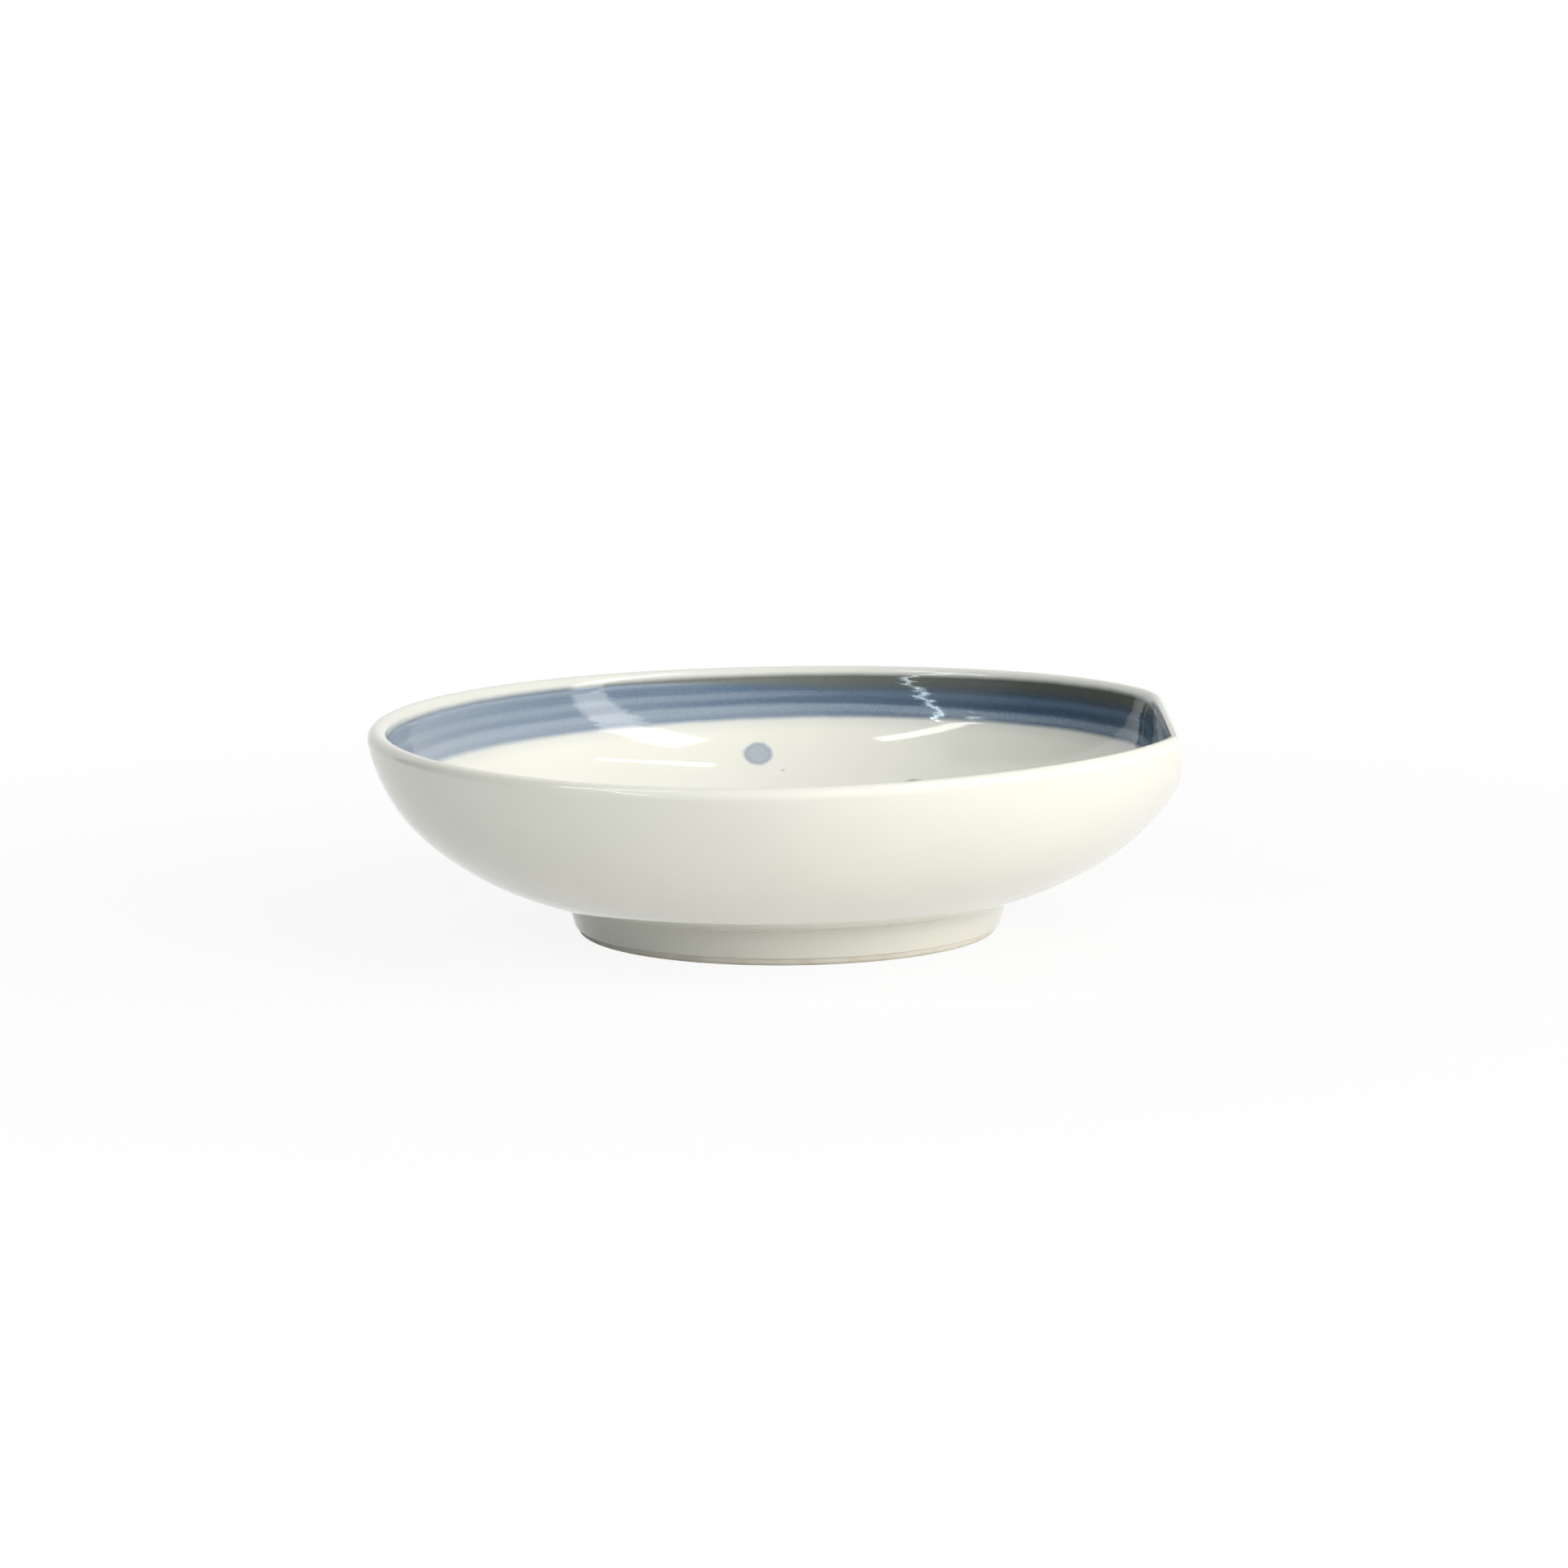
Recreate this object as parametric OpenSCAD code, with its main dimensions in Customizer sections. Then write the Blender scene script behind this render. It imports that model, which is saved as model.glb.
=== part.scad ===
// Round porcelain soy sauce dish on a foot ring, with one side of its rim pressed in straight.
// All sizes are of the finished, glazed dish; the clay lies one glaze thickness under them.
// The dish stands on Z = 0 with its box centred on Z. +X points to the pressed side.
// Millimetres and degrees.

/* [Rim] */
// Outside diameter of the round part of the rim
rim_d = 102.6; // [92:0.2:116]
// Height from the table to the top of the rim
dish_h = 26.4; // [23:0.2:32]
// Thickness of the rim, which is fully rounded over
rim_t = 2.4; // [1.8:0.1:3.6]
// Slope of the wall under the rim, from level
rim_slope = 79; // [72:1:86]

/* [Pressed side] */
// How far the pressed side stands in from the round rim
press_depth = 3.2; // [1.6:0.1:4.8]

/* [Wall and floor] */
// Slope of the outer wall where it springs from the foot
spring_slope = 9; // [4:1:16]
// Slope at which both sides of the wall turn up more sharply
turn_slope = 40; // [34:1:46]
// Radius of the flat middle of the floor
floor_r = 22; // [14:0.5:25]
// Thickness of the floor
floor_t = 2.9; // [2.2:0.1:4]

/* [Foot] */
// Outside diameter of the foot where it joins the wall
foot_top_d = 54.2; // [48:0.2:60]
// How far the outer side of the foot leans in on its way down to the table
foot_lean = 1.5; // [0:0.1:3]
// Height of the foot, which is also the depth of the recess inside it
foot_h = 4.6; // [3.6:0.1:7]
// Width of the flat face that the foot stands on
stand_w = 1.2; // [0.6:0.1:3]
// Radius of the rounded edges of the standing face
foot_round = 0.7; // [0.3:0.1:1]
// Height of the bare clay above the rounded edges
bare_h = 0.2; // [0:0.1:0.8]

/* [Glaze] */
// Thickness of the glaze
glaze_t = 0.3; // [0.2:0.05:0.5]

/* [Painting] */
// Drop from the top of the rim to the brown line
line_drop = 1.4; // [1.3:0.1:2.4]
// Height of the brown line
line_w = 1; // [0.6:0.1:1.6]
// Height of the blue band under the line
band_w = 4.2; // [2:0.1:5]
// Diameter of one painted dot
dot_d = 3.8; // [2:0.1:5]
// Distance of the inner ring of dots from the middle
dot_ring_r = 21; // [14:0.5:24]
// Distance from the rim in to the outer ring of dots
dot_inset = 9.3; // [9:0.1:16]

/* [Hidden] */
$fn = 96;

// How far a cutter runs past what it cuts
over = glaze_t;
arc_steps = 9;
round_steps = 6;

// The pressed side makes the dish shorter on +X, so its round middle stands off the box's middle
middle_x = press_depth / 2;

// Middle of the rim's roundness, in the plane of the wall's section
rim_round = rim_t / 2;
rim_mid = [rim_d / 2 - rim_round, dish_h - rim_round];

// The pressed side is a flat wall of the rim's thickness
press_x = rim_d / 2 - press_depth;
press_mid_x = press_x - rim_round;

// Painted zones, as heights
line_top = dish_h - line_drop;
line_low = line_top - line_w;
band_low = line_low - band_w;

// The outer ring's dots are brushed in by eye, some a little high and some a little low
dot_outer_r = rim_d / 2 - dot_inset;
outer_reach_shares = [1.03, 0.87, 0.98, 0.88, 1, 0.87, 0.99, 0.86, 0.97, 0.88, 0.985, 0.91];
inner_reach_shares = [1, 0.96, 1.03, 0.98, 1.02, 0.97];
middle_reach_shares = [0.05];
first_dot_turn = 94.7;

// The foot in section, from the finished outer side in to the recess
foot_low_r = foot_top_d / 2 - foot_lean;
stand_out = foot_low_r - glaze_t - foot_round;
stand_in = stand_out - stand_w;
clay_in = stand_in - foot_round;
recess_r = clay_in - glaze_t;
function foot_side(z) = foot_low_r + foot_lean * (z - foot_round) / (foot_h - foot_round);

// Glaze on the foot ends at this height
bare_top = foot_round + bare_h;

// Outward direction of a wall that slopes by the angle a
function facing(a) = [sin(a), -cos(a)];

// Points along an arc, from one slope to another
function arc(mid, r, from, to, steps) =
    [for (i = [0 : steps]) mid + r * facing(from + (to - from) * i / steps)];

// Radii of the two arcs that cross a gap and turn smoothly into each other at the turn slope
function two_radii(gap, from, turn, to) = let (
        low = [sin(turn) - sin(from), cos(from) - cos(turn)],
        high = [sin(to) - sin(turn), cos(turn) - cos(to)],
        det = low.x * high.y - high.x * low.y
    ) [(gap.x * high.y - high.x * gap.y) / det, (low.x * gap.y - gap.x * low.y) / det];

// Wall as two arcs from a start point and slope up to the rim; grow moves it outward
function wall(start, from, end, grow) = let (
        radii = two_radii(end - start, from, turn_slope, rim_slope),
        low_mid = start - radii[0] * facing(from),
        high_mid = low_mid + (radii[0] - radii[1]) * facing(turn_slope)
    ) concat(
        arc(low_mid, radii[0] + grow, from, turn_slope, arc_steps),
        arc(high_mid, radii[1] + grow, turn_slope, rim_slope, arc_steps));

// Outer side of the wall, seen in section, at a depth under the finished surface
outer_start = [foot_side(foot_h), foot_h];
outer_end = rim_mid + rim_round * facing(rim_slope);
function outer_wall(depth) = wall(outer_start, spring_slope, outer_end, -depth);

// Inner side of the wall, from the edge of the flat floor up
inner_start = [floor_r, foot_h + floor_t];
inner_end = rim_mid - rim_round * facing(rim_slope);
function inner_wall(depth) = wall(inner_start, 0, inner_end, depth);

// Section of everything inside the outer side and below the top of the rim
module outer_section(depth) {
    polygon(concat(
        [[0, foot_h], [outer_wall(depth)[0].x, foot_h]],
        outer_wall(depth),
        arc(rim_mid, rim_round - depth, rim_slope, 180, round_steps),
        [[0, dish_h - depth]]));
}

// Section of the hollow, which runs on above the rim
module hollow_section(depth) {
    polygon(concat(
        [[0, inner_start.y - depth]],
        inner_wall(depth),
        arc(rim_mid, rim_round - depth, 180 + rim_slope, 180, round_steps),
        [[rim_mid.x, dish_h + over], [0, dish_h + over]]));
}

// Moves what is drawn round the dish's own middle to its place in the box
module placed() {
    translate([middle_x, 0, 0]) children();
}

// Straight length of an outline that is drawn in X and Z
module along_y() {
    translate([0, rim_d / 2, 0]) rotate([90, 0, 0]) linear_extrude(rim_d) children();
}

// What the pressed side leaves of the outer shape
module press_outer(depth) {
    along_y() polygon(concat(
        [[-rim_d, 0], [press_x - depth, 0]],
        arc([press_mid_x, rim_mid.y], rim_round - depth, 90, 180, round_steps),
        [[-rim_d, dish_h - depth]]));
}

// What the pressed side leaves of the hollow
module press_hollow(depth) {
    along_y() polygon(concat(
        [[-rim_d, 0], [press_x - rim_t + depth, 0]],
        arc([press_mid_x, rim_mid.y], rim_round - depth, 270, 180, round_steps),
        [[press_mid_x, dish_h + rim_t], [-rim_d, dish_h + rim_t]]));
}

// Outer shape with no hollow, at a depth under the finished surface
module filled_dish(depth) {
    intersection() {
        rotate_extrude() outer_section(depth);
        press_outer(depth);
    }
}

// Hollow of the dish, at a depth under the finished surface
module hollow(depth) {
    intersection() {
        rotate_extrude() hollow_section(depth);
        press_hollow(depth);
    }
}

// Everything between two heights, out to a radius
module between(low, high, r = rim_d) {
    translate([0, 0, low]) cylinder(h = high - low, r = r);
}

// The layer of glaze inside the dish between two heights
module inside_layer(low, high) {
    intersection() {
        difference() {
            hollow(glaze_t);
            hollow(0);
        }
        between(low, high);
    }
}

// White porcelain wall and floor, with room for the glaze in the recess of the foot
module bowl_body() {
    color("whitesmoke") placed() difference() {
        filled_dish(glaze_t);
        hollow(glaze_t);
        between(0, foot_h + glaze_t, clay_in);
    }
}

// White porcelain foot ring with rounded, unglazed standing edges
module foot_ring() {
    color("antiquewhite") placed() rotate_extrude() polygon(concat(
        [[clay_in, foot_h]],
        arc([stand_in, foot_round], foot_round, -90, 0, round_steps),
        arc([stand_out, foot_round], foot_round, 0, 90, round_steps),
        [[foot_side(foot_h) - glaze_t, foot_h]]));
}

// Clear glaze over the rim and down the outside to the foot
module outside_glaze() {
    color("white") placed() difference() {
        filled_dish(0);
        filled_dish(glaze_t);
        hollow(0);
        intersection() {
            hollow(glaze_t);
            between(0, line_top);
        }
    }
}

// Slopes of the floor at the dots, so that each dot lies in the surface
inner_radii = two_radii(inner_end - inner_start, 0, turn_slope, rim_slope);
inner_turn = inner_start.x + inner_radii[0] * sin(turn_slope);
inner_high_x = inner_turn - inner_radii[1] * sin(turn_slope);
function floor_slope(r) =
    r < inner_start.x ? 0 :
    r < inner_turn ? asin((r - inner_start.x) / inner_radii[0]) :
    asin((r - inner_high_x) / inner_radii[1]);
function floor_z(r) = let (a = floor_slope(r))
    r < inner_turn ? inner_start.y + inner_radii[0] * (1 - cos(a)) :
    inner_start.y + inner_radii[0] * (1 - cos(turn_slope))
        + inner_radii[1] * (cos(turn_slope) - cos(a));

// Round cutters square to the floor, one for each dot of a ring
module dot_ring(ring_r, reach_shares) {
    count = len(reach_shares);
    for (i = [0 : count - 1]) {
        r = ring_r * reach_shares[i];
        rotate([0, 0, first_dot_turn + 360 * i / count])
        translate([r, 0, floor_z(r)])
        rotate([0, -floor_slope(r), 0])
            cylinder(h = dot_d, d = dot_d, center = true);
    }
}

// Every dot of the pattern: one near the middle, a ring round it and a ring low on the wall
module dot_cutters() {
    dot_ring(dot_ring_r, middle_reach_shares);
    dot_ring(dot_ring_r, inner_reach_shares);
    dot_ring(dot_outer_r, outer_reach_shares);
}

// Clear glaze over the floor and the lower wall, left out where the dots are
module inside_glaze() {
    color("ghostwhite") placed() difference() {
        inside_layer(0, band_low);
        dot_cutters();
    }
}

// Glaze stained by the brushed blue band
module blue_band() {
    color("slategray") placed() inside_layer(band_low, line_low);
}

// Glaze stained by the thin brown line that edges the band
module brown_line() {
    color("darkslategray") placed() inside_layer(line_low, line_top);
}

// Glaze stained by the blue dots
module blue_dots() {
    color("lightsteelblue") placed() intersection() {
        inside_layer(0, band_low);
        dot_cutters();
    }
}

// Clear glaze on the outer side of the foot, down to the bare edge
module foot_glaze() {
    color("white") placed() rotate_extrude() polygon([
        [foot_side(bare_top) - glaze_t, bare_top],
        [foot_side(bare_top), bare_top],
        [foot_side(foot_h), foot_h],
        [foot_side(foot_h) - glaze_t, foot_h]]);
}

// Clear glaze in the recess of the foot, over its ceiling and its inner side
module base_glaze() {
    color("white") placed() rotate_extrude() polygon([
        [0, foot_h + glaze_t],
        [0, foot_h],
        [recess_r, foot_h],
        [recess_r, bare_top],
        [clay_in, bare_top],
        [clay_in, foot_h + glaze_t]]);
}

bowl_body();
foot_ring();
inside_glaze();
outside_glaze();
foot_glaze();
base_glaze();
blue_band();
brown_line();
blue_dots();
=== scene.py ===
"""Builds a glazed porcelain soy sauce dish, pressed in straight on one side, and its stage.

The dish stands on Z = 0 and its pressed side faces +X. Every length is in metres.
In a section of the dish, r runs out from the middle of the foot, z runs up, and a surface
faces the angle a: 0 is down, 90 degrees is out and 180 degrees is up.
"""

import math

import bmesh
import bpy
import numpy as np
from bpy.props import FloatProperty, FloatVectorProperty, IntProperty, PointerProperty
from mathutils import Matrix, Vector


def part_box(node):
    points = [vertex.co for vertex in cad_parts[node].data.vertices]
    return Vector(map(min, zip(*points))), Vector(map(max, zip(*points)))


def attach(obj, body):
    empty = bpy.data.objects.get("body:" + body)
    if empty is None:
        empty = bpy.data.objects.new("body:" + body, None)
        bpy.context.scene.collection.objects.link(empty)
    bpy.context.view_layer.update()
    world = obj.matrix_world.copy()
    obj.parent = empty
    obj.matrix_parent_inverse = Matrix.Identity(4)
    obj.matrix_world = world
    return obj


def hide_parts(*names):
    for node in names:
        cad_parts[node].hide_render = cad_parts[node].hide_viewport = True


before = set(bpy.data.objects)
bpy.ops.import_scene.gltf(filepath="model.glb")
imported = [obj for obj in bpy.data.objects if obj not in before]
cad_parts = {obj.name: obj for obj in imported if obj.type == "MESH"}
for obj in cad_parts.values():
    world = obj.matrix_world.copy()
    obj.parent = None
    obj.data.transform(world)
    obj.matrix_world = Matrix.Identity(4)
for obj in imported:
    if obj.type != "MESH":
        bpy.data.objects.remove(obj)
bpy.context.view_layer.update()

bl_info = {
    "name": "Soy Sauce Dish",
    "version": (1, 0, 0),
    "blender": (4, 5, 0),
    "location": "View3D > Sidebar > Dish",
    "description": "Builds a porcelain soy sauce dish with a pressed side, and a plain stage for it",
    "category": "Object",
}

MM = 0.001
WHITE = (1, 1, 1, 1)
# Sizes under which a ring of points counts as one point and a direction as none, in metres
POLE_SIZE = 1e-9
NO_NORMAL = 1e-14

# The frame's own corners, which the defaults below come from
_, RIM_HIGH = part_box("outside_glaze")
FOOT_LOW, FOOT_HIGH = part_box("foot_glaze")
INSIDE_LOW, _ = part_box("inside_glaze")
BAND_LOW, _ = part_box("blue_band")
LINE_LOW, LINE_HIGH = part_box("brown_line")
_, BASE_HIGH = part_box("base_glaze")
MIDDLE_X = (FOOT_LOW.x + FOOT_HIGH.x) / 2
GLAZE = BASE_HIGH.z - FOOT_HIGH.z

# Steps along each stretch of the dish's section
STEPS_ALONG = {
    "floor": 14, "turn": 24, "inner wall": (12, 14, 5, 3), "rim": 22, "outer wall": (20, 26),
    "fillet": 5, "side": 8, "roll": 6, "bare side": 2, "bare round": 8, "stand": 3,
    "recess side": 5, "recess corner": 4, "ceiling": 12,
}


def length(name, default, about, low=0.0):
    """A size that the user can change."""
    return FloatProperty(name=name, description=about, default=default, min=low,
                         subtype="DISTANCE", unit="LENGTH", precision=5)


def angle(name, degrees, about):
    """An angle that the user can change, given here in degrees."""
    return FloatProperty(name=name, description=about, default=math.radians(degrees),
                         subtype="ANGLE", unit="ROTATION")


def colour(name, default, about):
    """A colour that the user can change."""
    return FloatVectorProperty(name=name, description=about, default=default, min=0, max=1,
                               size=4, subtype="COLOR")


def share(name, default, about, high=1.0):
    """A plain number that the user can change."""
    return FloatProperty(name=name, description=about, default=default, min=0, soft_max=high)


class DishShape(bpy.types.PropertyGroup):
    """Sizes of the fired dish."""

    rim_radius: length("Rim radius", RIM_HIGH.y, "Outside radius of the round part of the rim")
    height: length("Height", RIM_HIGH.z, "From the table to the highest part of the rim")
    rim_width: length("Rim width", 2.4 * MM, "Thickness of the rounded rim")
    rim_slope: angle("Rim slope", 79, "Slope of the wall under the rim")
    turn_slope: angle("Turn slope", 40, "Slope at which the wall turns up more sharply")
    spring_slope: angle("Spring slope", 9, "Slope of the outer wall where it leaves the foot")
    floor_radius: length("Floor radius", 22 * MM, "Radius of the flat middle of the floor")
    floor_top: length("Floor height", INSIDE_LOW.z + GLAZE, "From the table to the floor")
    glaze: length("Glaze", GLAZE, "Thickness of the glaze")
    press_reach: length("Pressed side", RIM_HIGH.x - MIDDLE_X, "From the middle to the pressed side")
    front_corner: share("Front corner", 420, "Sharpness of the pressed side's front corner", 600)
    back_corner: share("Back corner", 62, "Sharpness of the pressed side's back corner", 600)
    low_corner: share("Low corner", 36, "Sharpness where the pressed side fades into the wall", 600)
    pinch: share("Pinch", 0.56, "Share of the rim's width that is left at the pressed side")
    squeeze: length("Squeeze", 0.5 * MM, "How far the wall under the pressed side stands in")
    swell: length("Swell", 0.3 * MM, "How far the wall opposite the pressed side stands out")
    rim_shift: length("Rim shift", 0.26 * MM, "How far the rim's middle lies off the foot's middle")
    foot_top: length("Foot top radius", FOOT_HIGH.y, "Radius of the foot where it joins the wall")
    foot_low: length("Foot low radius", 26.0 * MM, "Radius of the foot just over its rounded edge")
    foot_height: length("Foot height", FOOT_HIGH.z, "Height of the foot")
    foot_round: length("Foot rounding", 0.7 * MM, "Radius of the foot's rounded edges")
    stand_in: length("Stand inner radius", 23.4 * MM, "Inner radius of the face it stands on")
    glaze_end: length("Glaze end", FOOT_LOW.z, "Height at which the glaze on the foot ends")
    sharp_fillet: length("Sharp fillet", 0.35 * MM, "Fillet over the foot, away from the pressed side")
    soft_fillet: length("Soft fillet", 2.2 * MM, "Fillet over the foot, under the pressed side")
    columns: IntProperty(name="Columns", description="Steps round the dish", default=380, min=60)


class DishPainting(bpy.types.PropertyGroup):
    """Sizes and colours of the brushwork under the glaze."""

    band_low: length("Band low", BAND_LOW.z, "Height of the blue band's lower edge")
    line_low: length("Line low", LINE_LOW.z, "Height of the brown line's lower edge")
    line_top: length("Line top", LINE_HIGH.z, "Height of the brown line's upper edge")
    dot_radius: length("Dot radius", 1.9 * MM, "Radius of one painted dot")
    inner_ring: length("Inner ring", 21 * MM, "Radius of the inner ring of dots")
    outer_ring: length("Outer ring", 42 * MM, "Radius of the outer ring of dots")
    first_turn: angle("First dot", 94.7, "Direction of the first dot of each ring")
    white: colour("White", (0.80, 0.79, 0.71, 1), "Glaze over bare porcelain")
    thin_blue: colour("Thin blue", (0.37, 0.43, 0.50, 1), "Band where the wash is thin")
    mid_blue: colour("Middle blue", (0.088, 0.14, 0.22, 1), "Band where the wash is middling")
    deep_blue: colour("Deep blue", (0.026, 0.056, 0.095, 1), "Band where the wash is thick")
    brown: colour("Iron brown", (0.165, 0.176, 0.135, 1), "Iron line over the band")
    dot_blue: colour("Dot blue", (0.345, 0.40, 0.455, 1), "Dots on the floor")
    clay: colour("Clay", (0.79, 0.76, 0.67, 1), "Bare fired porcelain")


class DishStage(bpy.types.PropertyGroup):
    """Camera, lamps and floor round the dish."""

    distance: length("Camera distance", 882.4 * MM, "From the camera to the point it looks at")
    camera_rise: angle("Camera rise", 9.023, "How far the camera looks down")
    camera_roll: angle("Camera roll", -0.451, "Turn of the camera round its own line of sight")
    aim_x: length("Aim X", 1.482 * MM, "Where the camera looks, along X")
    aim_z: length("Aim Z", 18.067 * MM, "Where the camera looks, above the table")
    lens: share("Lens", 164.42, "Focal length in millimetres on a 36 mm wide sensor", 300)
    key: share("Key", 6.3, "Brightness of the tall lamp on the right, where 1 is white", 30)
    strip: share("Strip", 10, "Brightness of the strip lamp on the left", 30)
    back: share("Back", 12, "Brightness of the thin lamp behind", 30)
    thread: share("Thread", 42, "Brightness of the very thin bluish lamp in front", 60)
    right: share("Soft right", 4.3, "Brightness of the soft light from the right", 20)
    corner: share("Soft corner", 4.1, "Brightness of the soft light from the front right", 20)
    front: share("Soft front", 3.0, "Brightness of the soft light from the front", 20)
    low: share("Soft low", 2.3, "Brightness of the low soft light from the front right", 20)
    behind: share("Soft back", 2.1, "Brightness of the soft light from behind", 20)
    fill: share("Fill", 0.01, "Brightness of the room round the dish", 2)
    dim: share("Dim side", 0.25, "Brightness of the room's dim side, as the glaze mirrors it")


def facing(a):
    """Direction, in section, that a surface facing the angle a looks to."""
    return np.array([math.sin(a), -math.cos(a)])


def arc(mid, radius, start, stop, steps):
    """Section rows (r, z, a) round a centre. A negative radius bends the surface inward."""
    a = np.linspace(start, stop, steps + 1)
    return np.column_stack([mid[0] + radius * np.sin(a), mid[1] - radius * np.cos(a), a])


def line(start, stop, a, steps):
    """Section rows (r, z, a) along a straight line."""
    t = np.linspace(0, 1, steps + 1)[:, None]
    points = np.asarray(start) * (1 - t) + np.asarray(stop) * t
    return np.column_stack([points, np.full(steps + 1, a)])


def chain(*runs):
    """Joins runs of rows that meet, and keeps each meeting row once."""
    return np.concatenate([runs[0]] + [run[1:] for run in runs[1:]])


class Wall:
    """One side of the wall in section, as two arcs that turn smoothly into each other."""

    def __init__(self, start, start_slope, turn_slope, end, end_slope):
        gap = end - start
        low = facing(turn_slope) - facing(start_slope)
        high = facing(end_slope) - facing(turn_slope)
        self.low_radius, self.high_radius = np.linalg.solve(np.column_stack([low, high]), gap)
        self.low_mid = start - self.low_radius * facing(start_slope)
        self.high_mid = self.low_mid + (self.low_radius - self.high_radius) * facing(turn_slope)

    def slope_at(self, z):
        """Slope of the upper arc at a height."""
        return math.acos((self.high_mid[1] - z) / self.high_radius)


class Section:
    """The dish's finished section, cut into named runs of rows."""

    def __init__(self, shape, painting, fillet):
        s = shape
        half = s.rim_width / 2
        self.rim_mid = np.array([s.rim_radius - half, s.height - half])
        self.half = half
        self.runs = {}
        self.kinds = {}
        self.inside(s, painting)
        self.outside(s, fillet)
        self.foot(s)

    def add(self, name, rows, kind=1):
        """Keeps a run. Its kind is -1 on the inner wall, 0 on the rim and 1 on the outer side."""
        self.runs[name] = rows
        self.kinds[name] = kind

    def inside(self, s, painting):
        """Floor, inner wall and rim."""
        up = math.pi
        start = np.array([s.floor_radius, s.floor_top])
        end = self.rim_mid - self.half * facing(s.rim_slope)
        wall = Wall(start, 0, s.turn_slope, end, s.rim_slope)
        self.inner = wall
        self.turn_r = wall.low_mid[0] + wall.low_radius * math.sin(s.turn_slope)
        floor = line((0, s.floor_top), start, up, STEPS_ALONG["floor"])
        low = arc(wall.low_mid, -wall.low_radius, up, up + s.turn_slope, STEPS_ALONG["turn"])
        stops = [s.turn_slope] + [
            wall.slope_at(z) for z in (painting.band_low, painting.line_low, painting.line_top)
        ] + [s.rim_slope]
        pieces = [
            arc(wall.high_mid, -wall.high_radius, up + a, up + b, steps)
            for a, b, steps in zip(stops, stops[1:], STEPS_ALONG["inner wall"])
        ]
        self.add("floor", chain(floor, low, pieces[0]), -1)
        self.add("band", pieces[1], -1)
        self.add("line", pieces[2], -1)
        self.add("lip", pieces[3], -1)
        self.add("rim", arc(self.rim_mid, self.half, up + s.rim_slope, s.rim_slope,
                            STEPS_ALONG["rim"]), 0)

    def outside(self, s, fillet):
        """Outer wall and the fillet over the foot."""
        joint = np.array([s.foot_top, s.foot_height])
        low = np.array([s.foot_low, s.foot_round])
        rise = joint - low
        self.side = math.atan2(rise[1], rise[0])
        end = self.rim_mid + self.half * facing(s.rim_slope)
        wall = Wall(joint, s.spring_slope, s.turn_slope, end, s.rim_slope)
        down = -rise / np.linalg.norm(rise)
        base = joint + fillet * facing(self.side) - wall.low_mid
        reach = wall.low_radius + fillet
        along = base @ down
        root = math.sqrt(along * along - base @ base + reach * reach)
        centre = wall.low_mid + base + min(-along - root, -along + root, key=abs) * down
        out = (centre - wall.low_mid) / reach
        leave = math.atan2(out[0], -out[1])
        high_steps, low_steps = STEPS_ALONG["outer wall"]
        self.add("wall", chain(
            arc(wall.high_mid, wall.high_radius, s.rim_slope, s.turn_slope, high_steps),
            arc(wall.low_mid, wall.low_radius, s.turn_slope, leave, low_steps)))
        middle = (leave + self.side) / 2
        self.add("fillet_top", arc(centre, -fillet, leave, middle, STEPS_ALONG["fillet"]))
        self.add("fillet_low", arc(centre, -fillet, middle, self.side, STEPS_ALONG["fillet"]))
        self.side_start = centre - fillet * facing(self.side)

    def foot(self, s):
        """Glazed side, bare standing edge, and the recess inside the foot."""
        along = np.array([math.cos(self.side), math.sin(self.side)])
        inner = np.array([s.foot_low, s.foot_round]) - (s.glaze + s.foot_round) * facing(self.side)
        round_mid = inner + along * (s.foot_round - inner[1]) / along[1]
        clay_low = round_mid + s.foot_round * facing(self.side)
        edge = clay_low + along * (s.glaze_end + s.glaze - clay_low[1]) / along[1]
        glaze_foot = edge + s.glaze * facing(self.side)
        quarter = math.pi / 2
        inward = -quarter
        self.add("side", line(self.side_start, glaze_foot, self.side, STEPS_ALONG["side"]))
        self.add("roll", arc(edge, s.glaze, self.side, self.side - quarter, STEPS_ALONG["roll"]))
        clay_in = s.stand_in - s.foot_round
        self.add("bare", chain(
            line(edge - along * s.glaze, clay_low, self.side, STEPS_ALONG["bare side"]),
            arc(round_mid, s.foot_round, self.side, 0, STEPS_ALONG["bare round"]),
            line((round_mid[0], 0), (s.stand_in, 0), 0, STEPS_ALONG["stand"]),
            arc((s.stand_in, s.foot_round), s.foot_round, 0, inward, STEPS_ALONG["bare round"]),
            line((clay_in, s.foot_round), (clay_in, s.glaze_end), inward,
                 STEPS_ALONG["bare side"])))
        roll_mid = (clay_in, s.glaze_end + s.glaze)
        self.add("recess_roll", arc(roll_mid, s.glaze, 0, inward, STEPS_ALONG["roll"]))
        recess = clay_in - s.glaze
        corner = 2 * s.foot_round
        mid = (recess - corner, s.foot_height - corner)
        halfway = inward / 2
        self.add("recess_side", line((recess, roll_mid[1]), (recess, mid[1]), inward,
                                     STEPS_ALONG["recess side"]))
        self.add("recess_corner_low",
                 arc(mid, -corner, inward, halfway, STEPS_ALONG["recess corner"]))
        self.add("recess_corner_top", arc(mid, -corner, halfway, 0, STEPS_ALONG["recess corner"]))
        self.add("ceiling", line((mid[0], s.foot_height), (0, s.foot_height), 0,
                                 STEPS_ALONG["ceiling"]))

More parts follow.
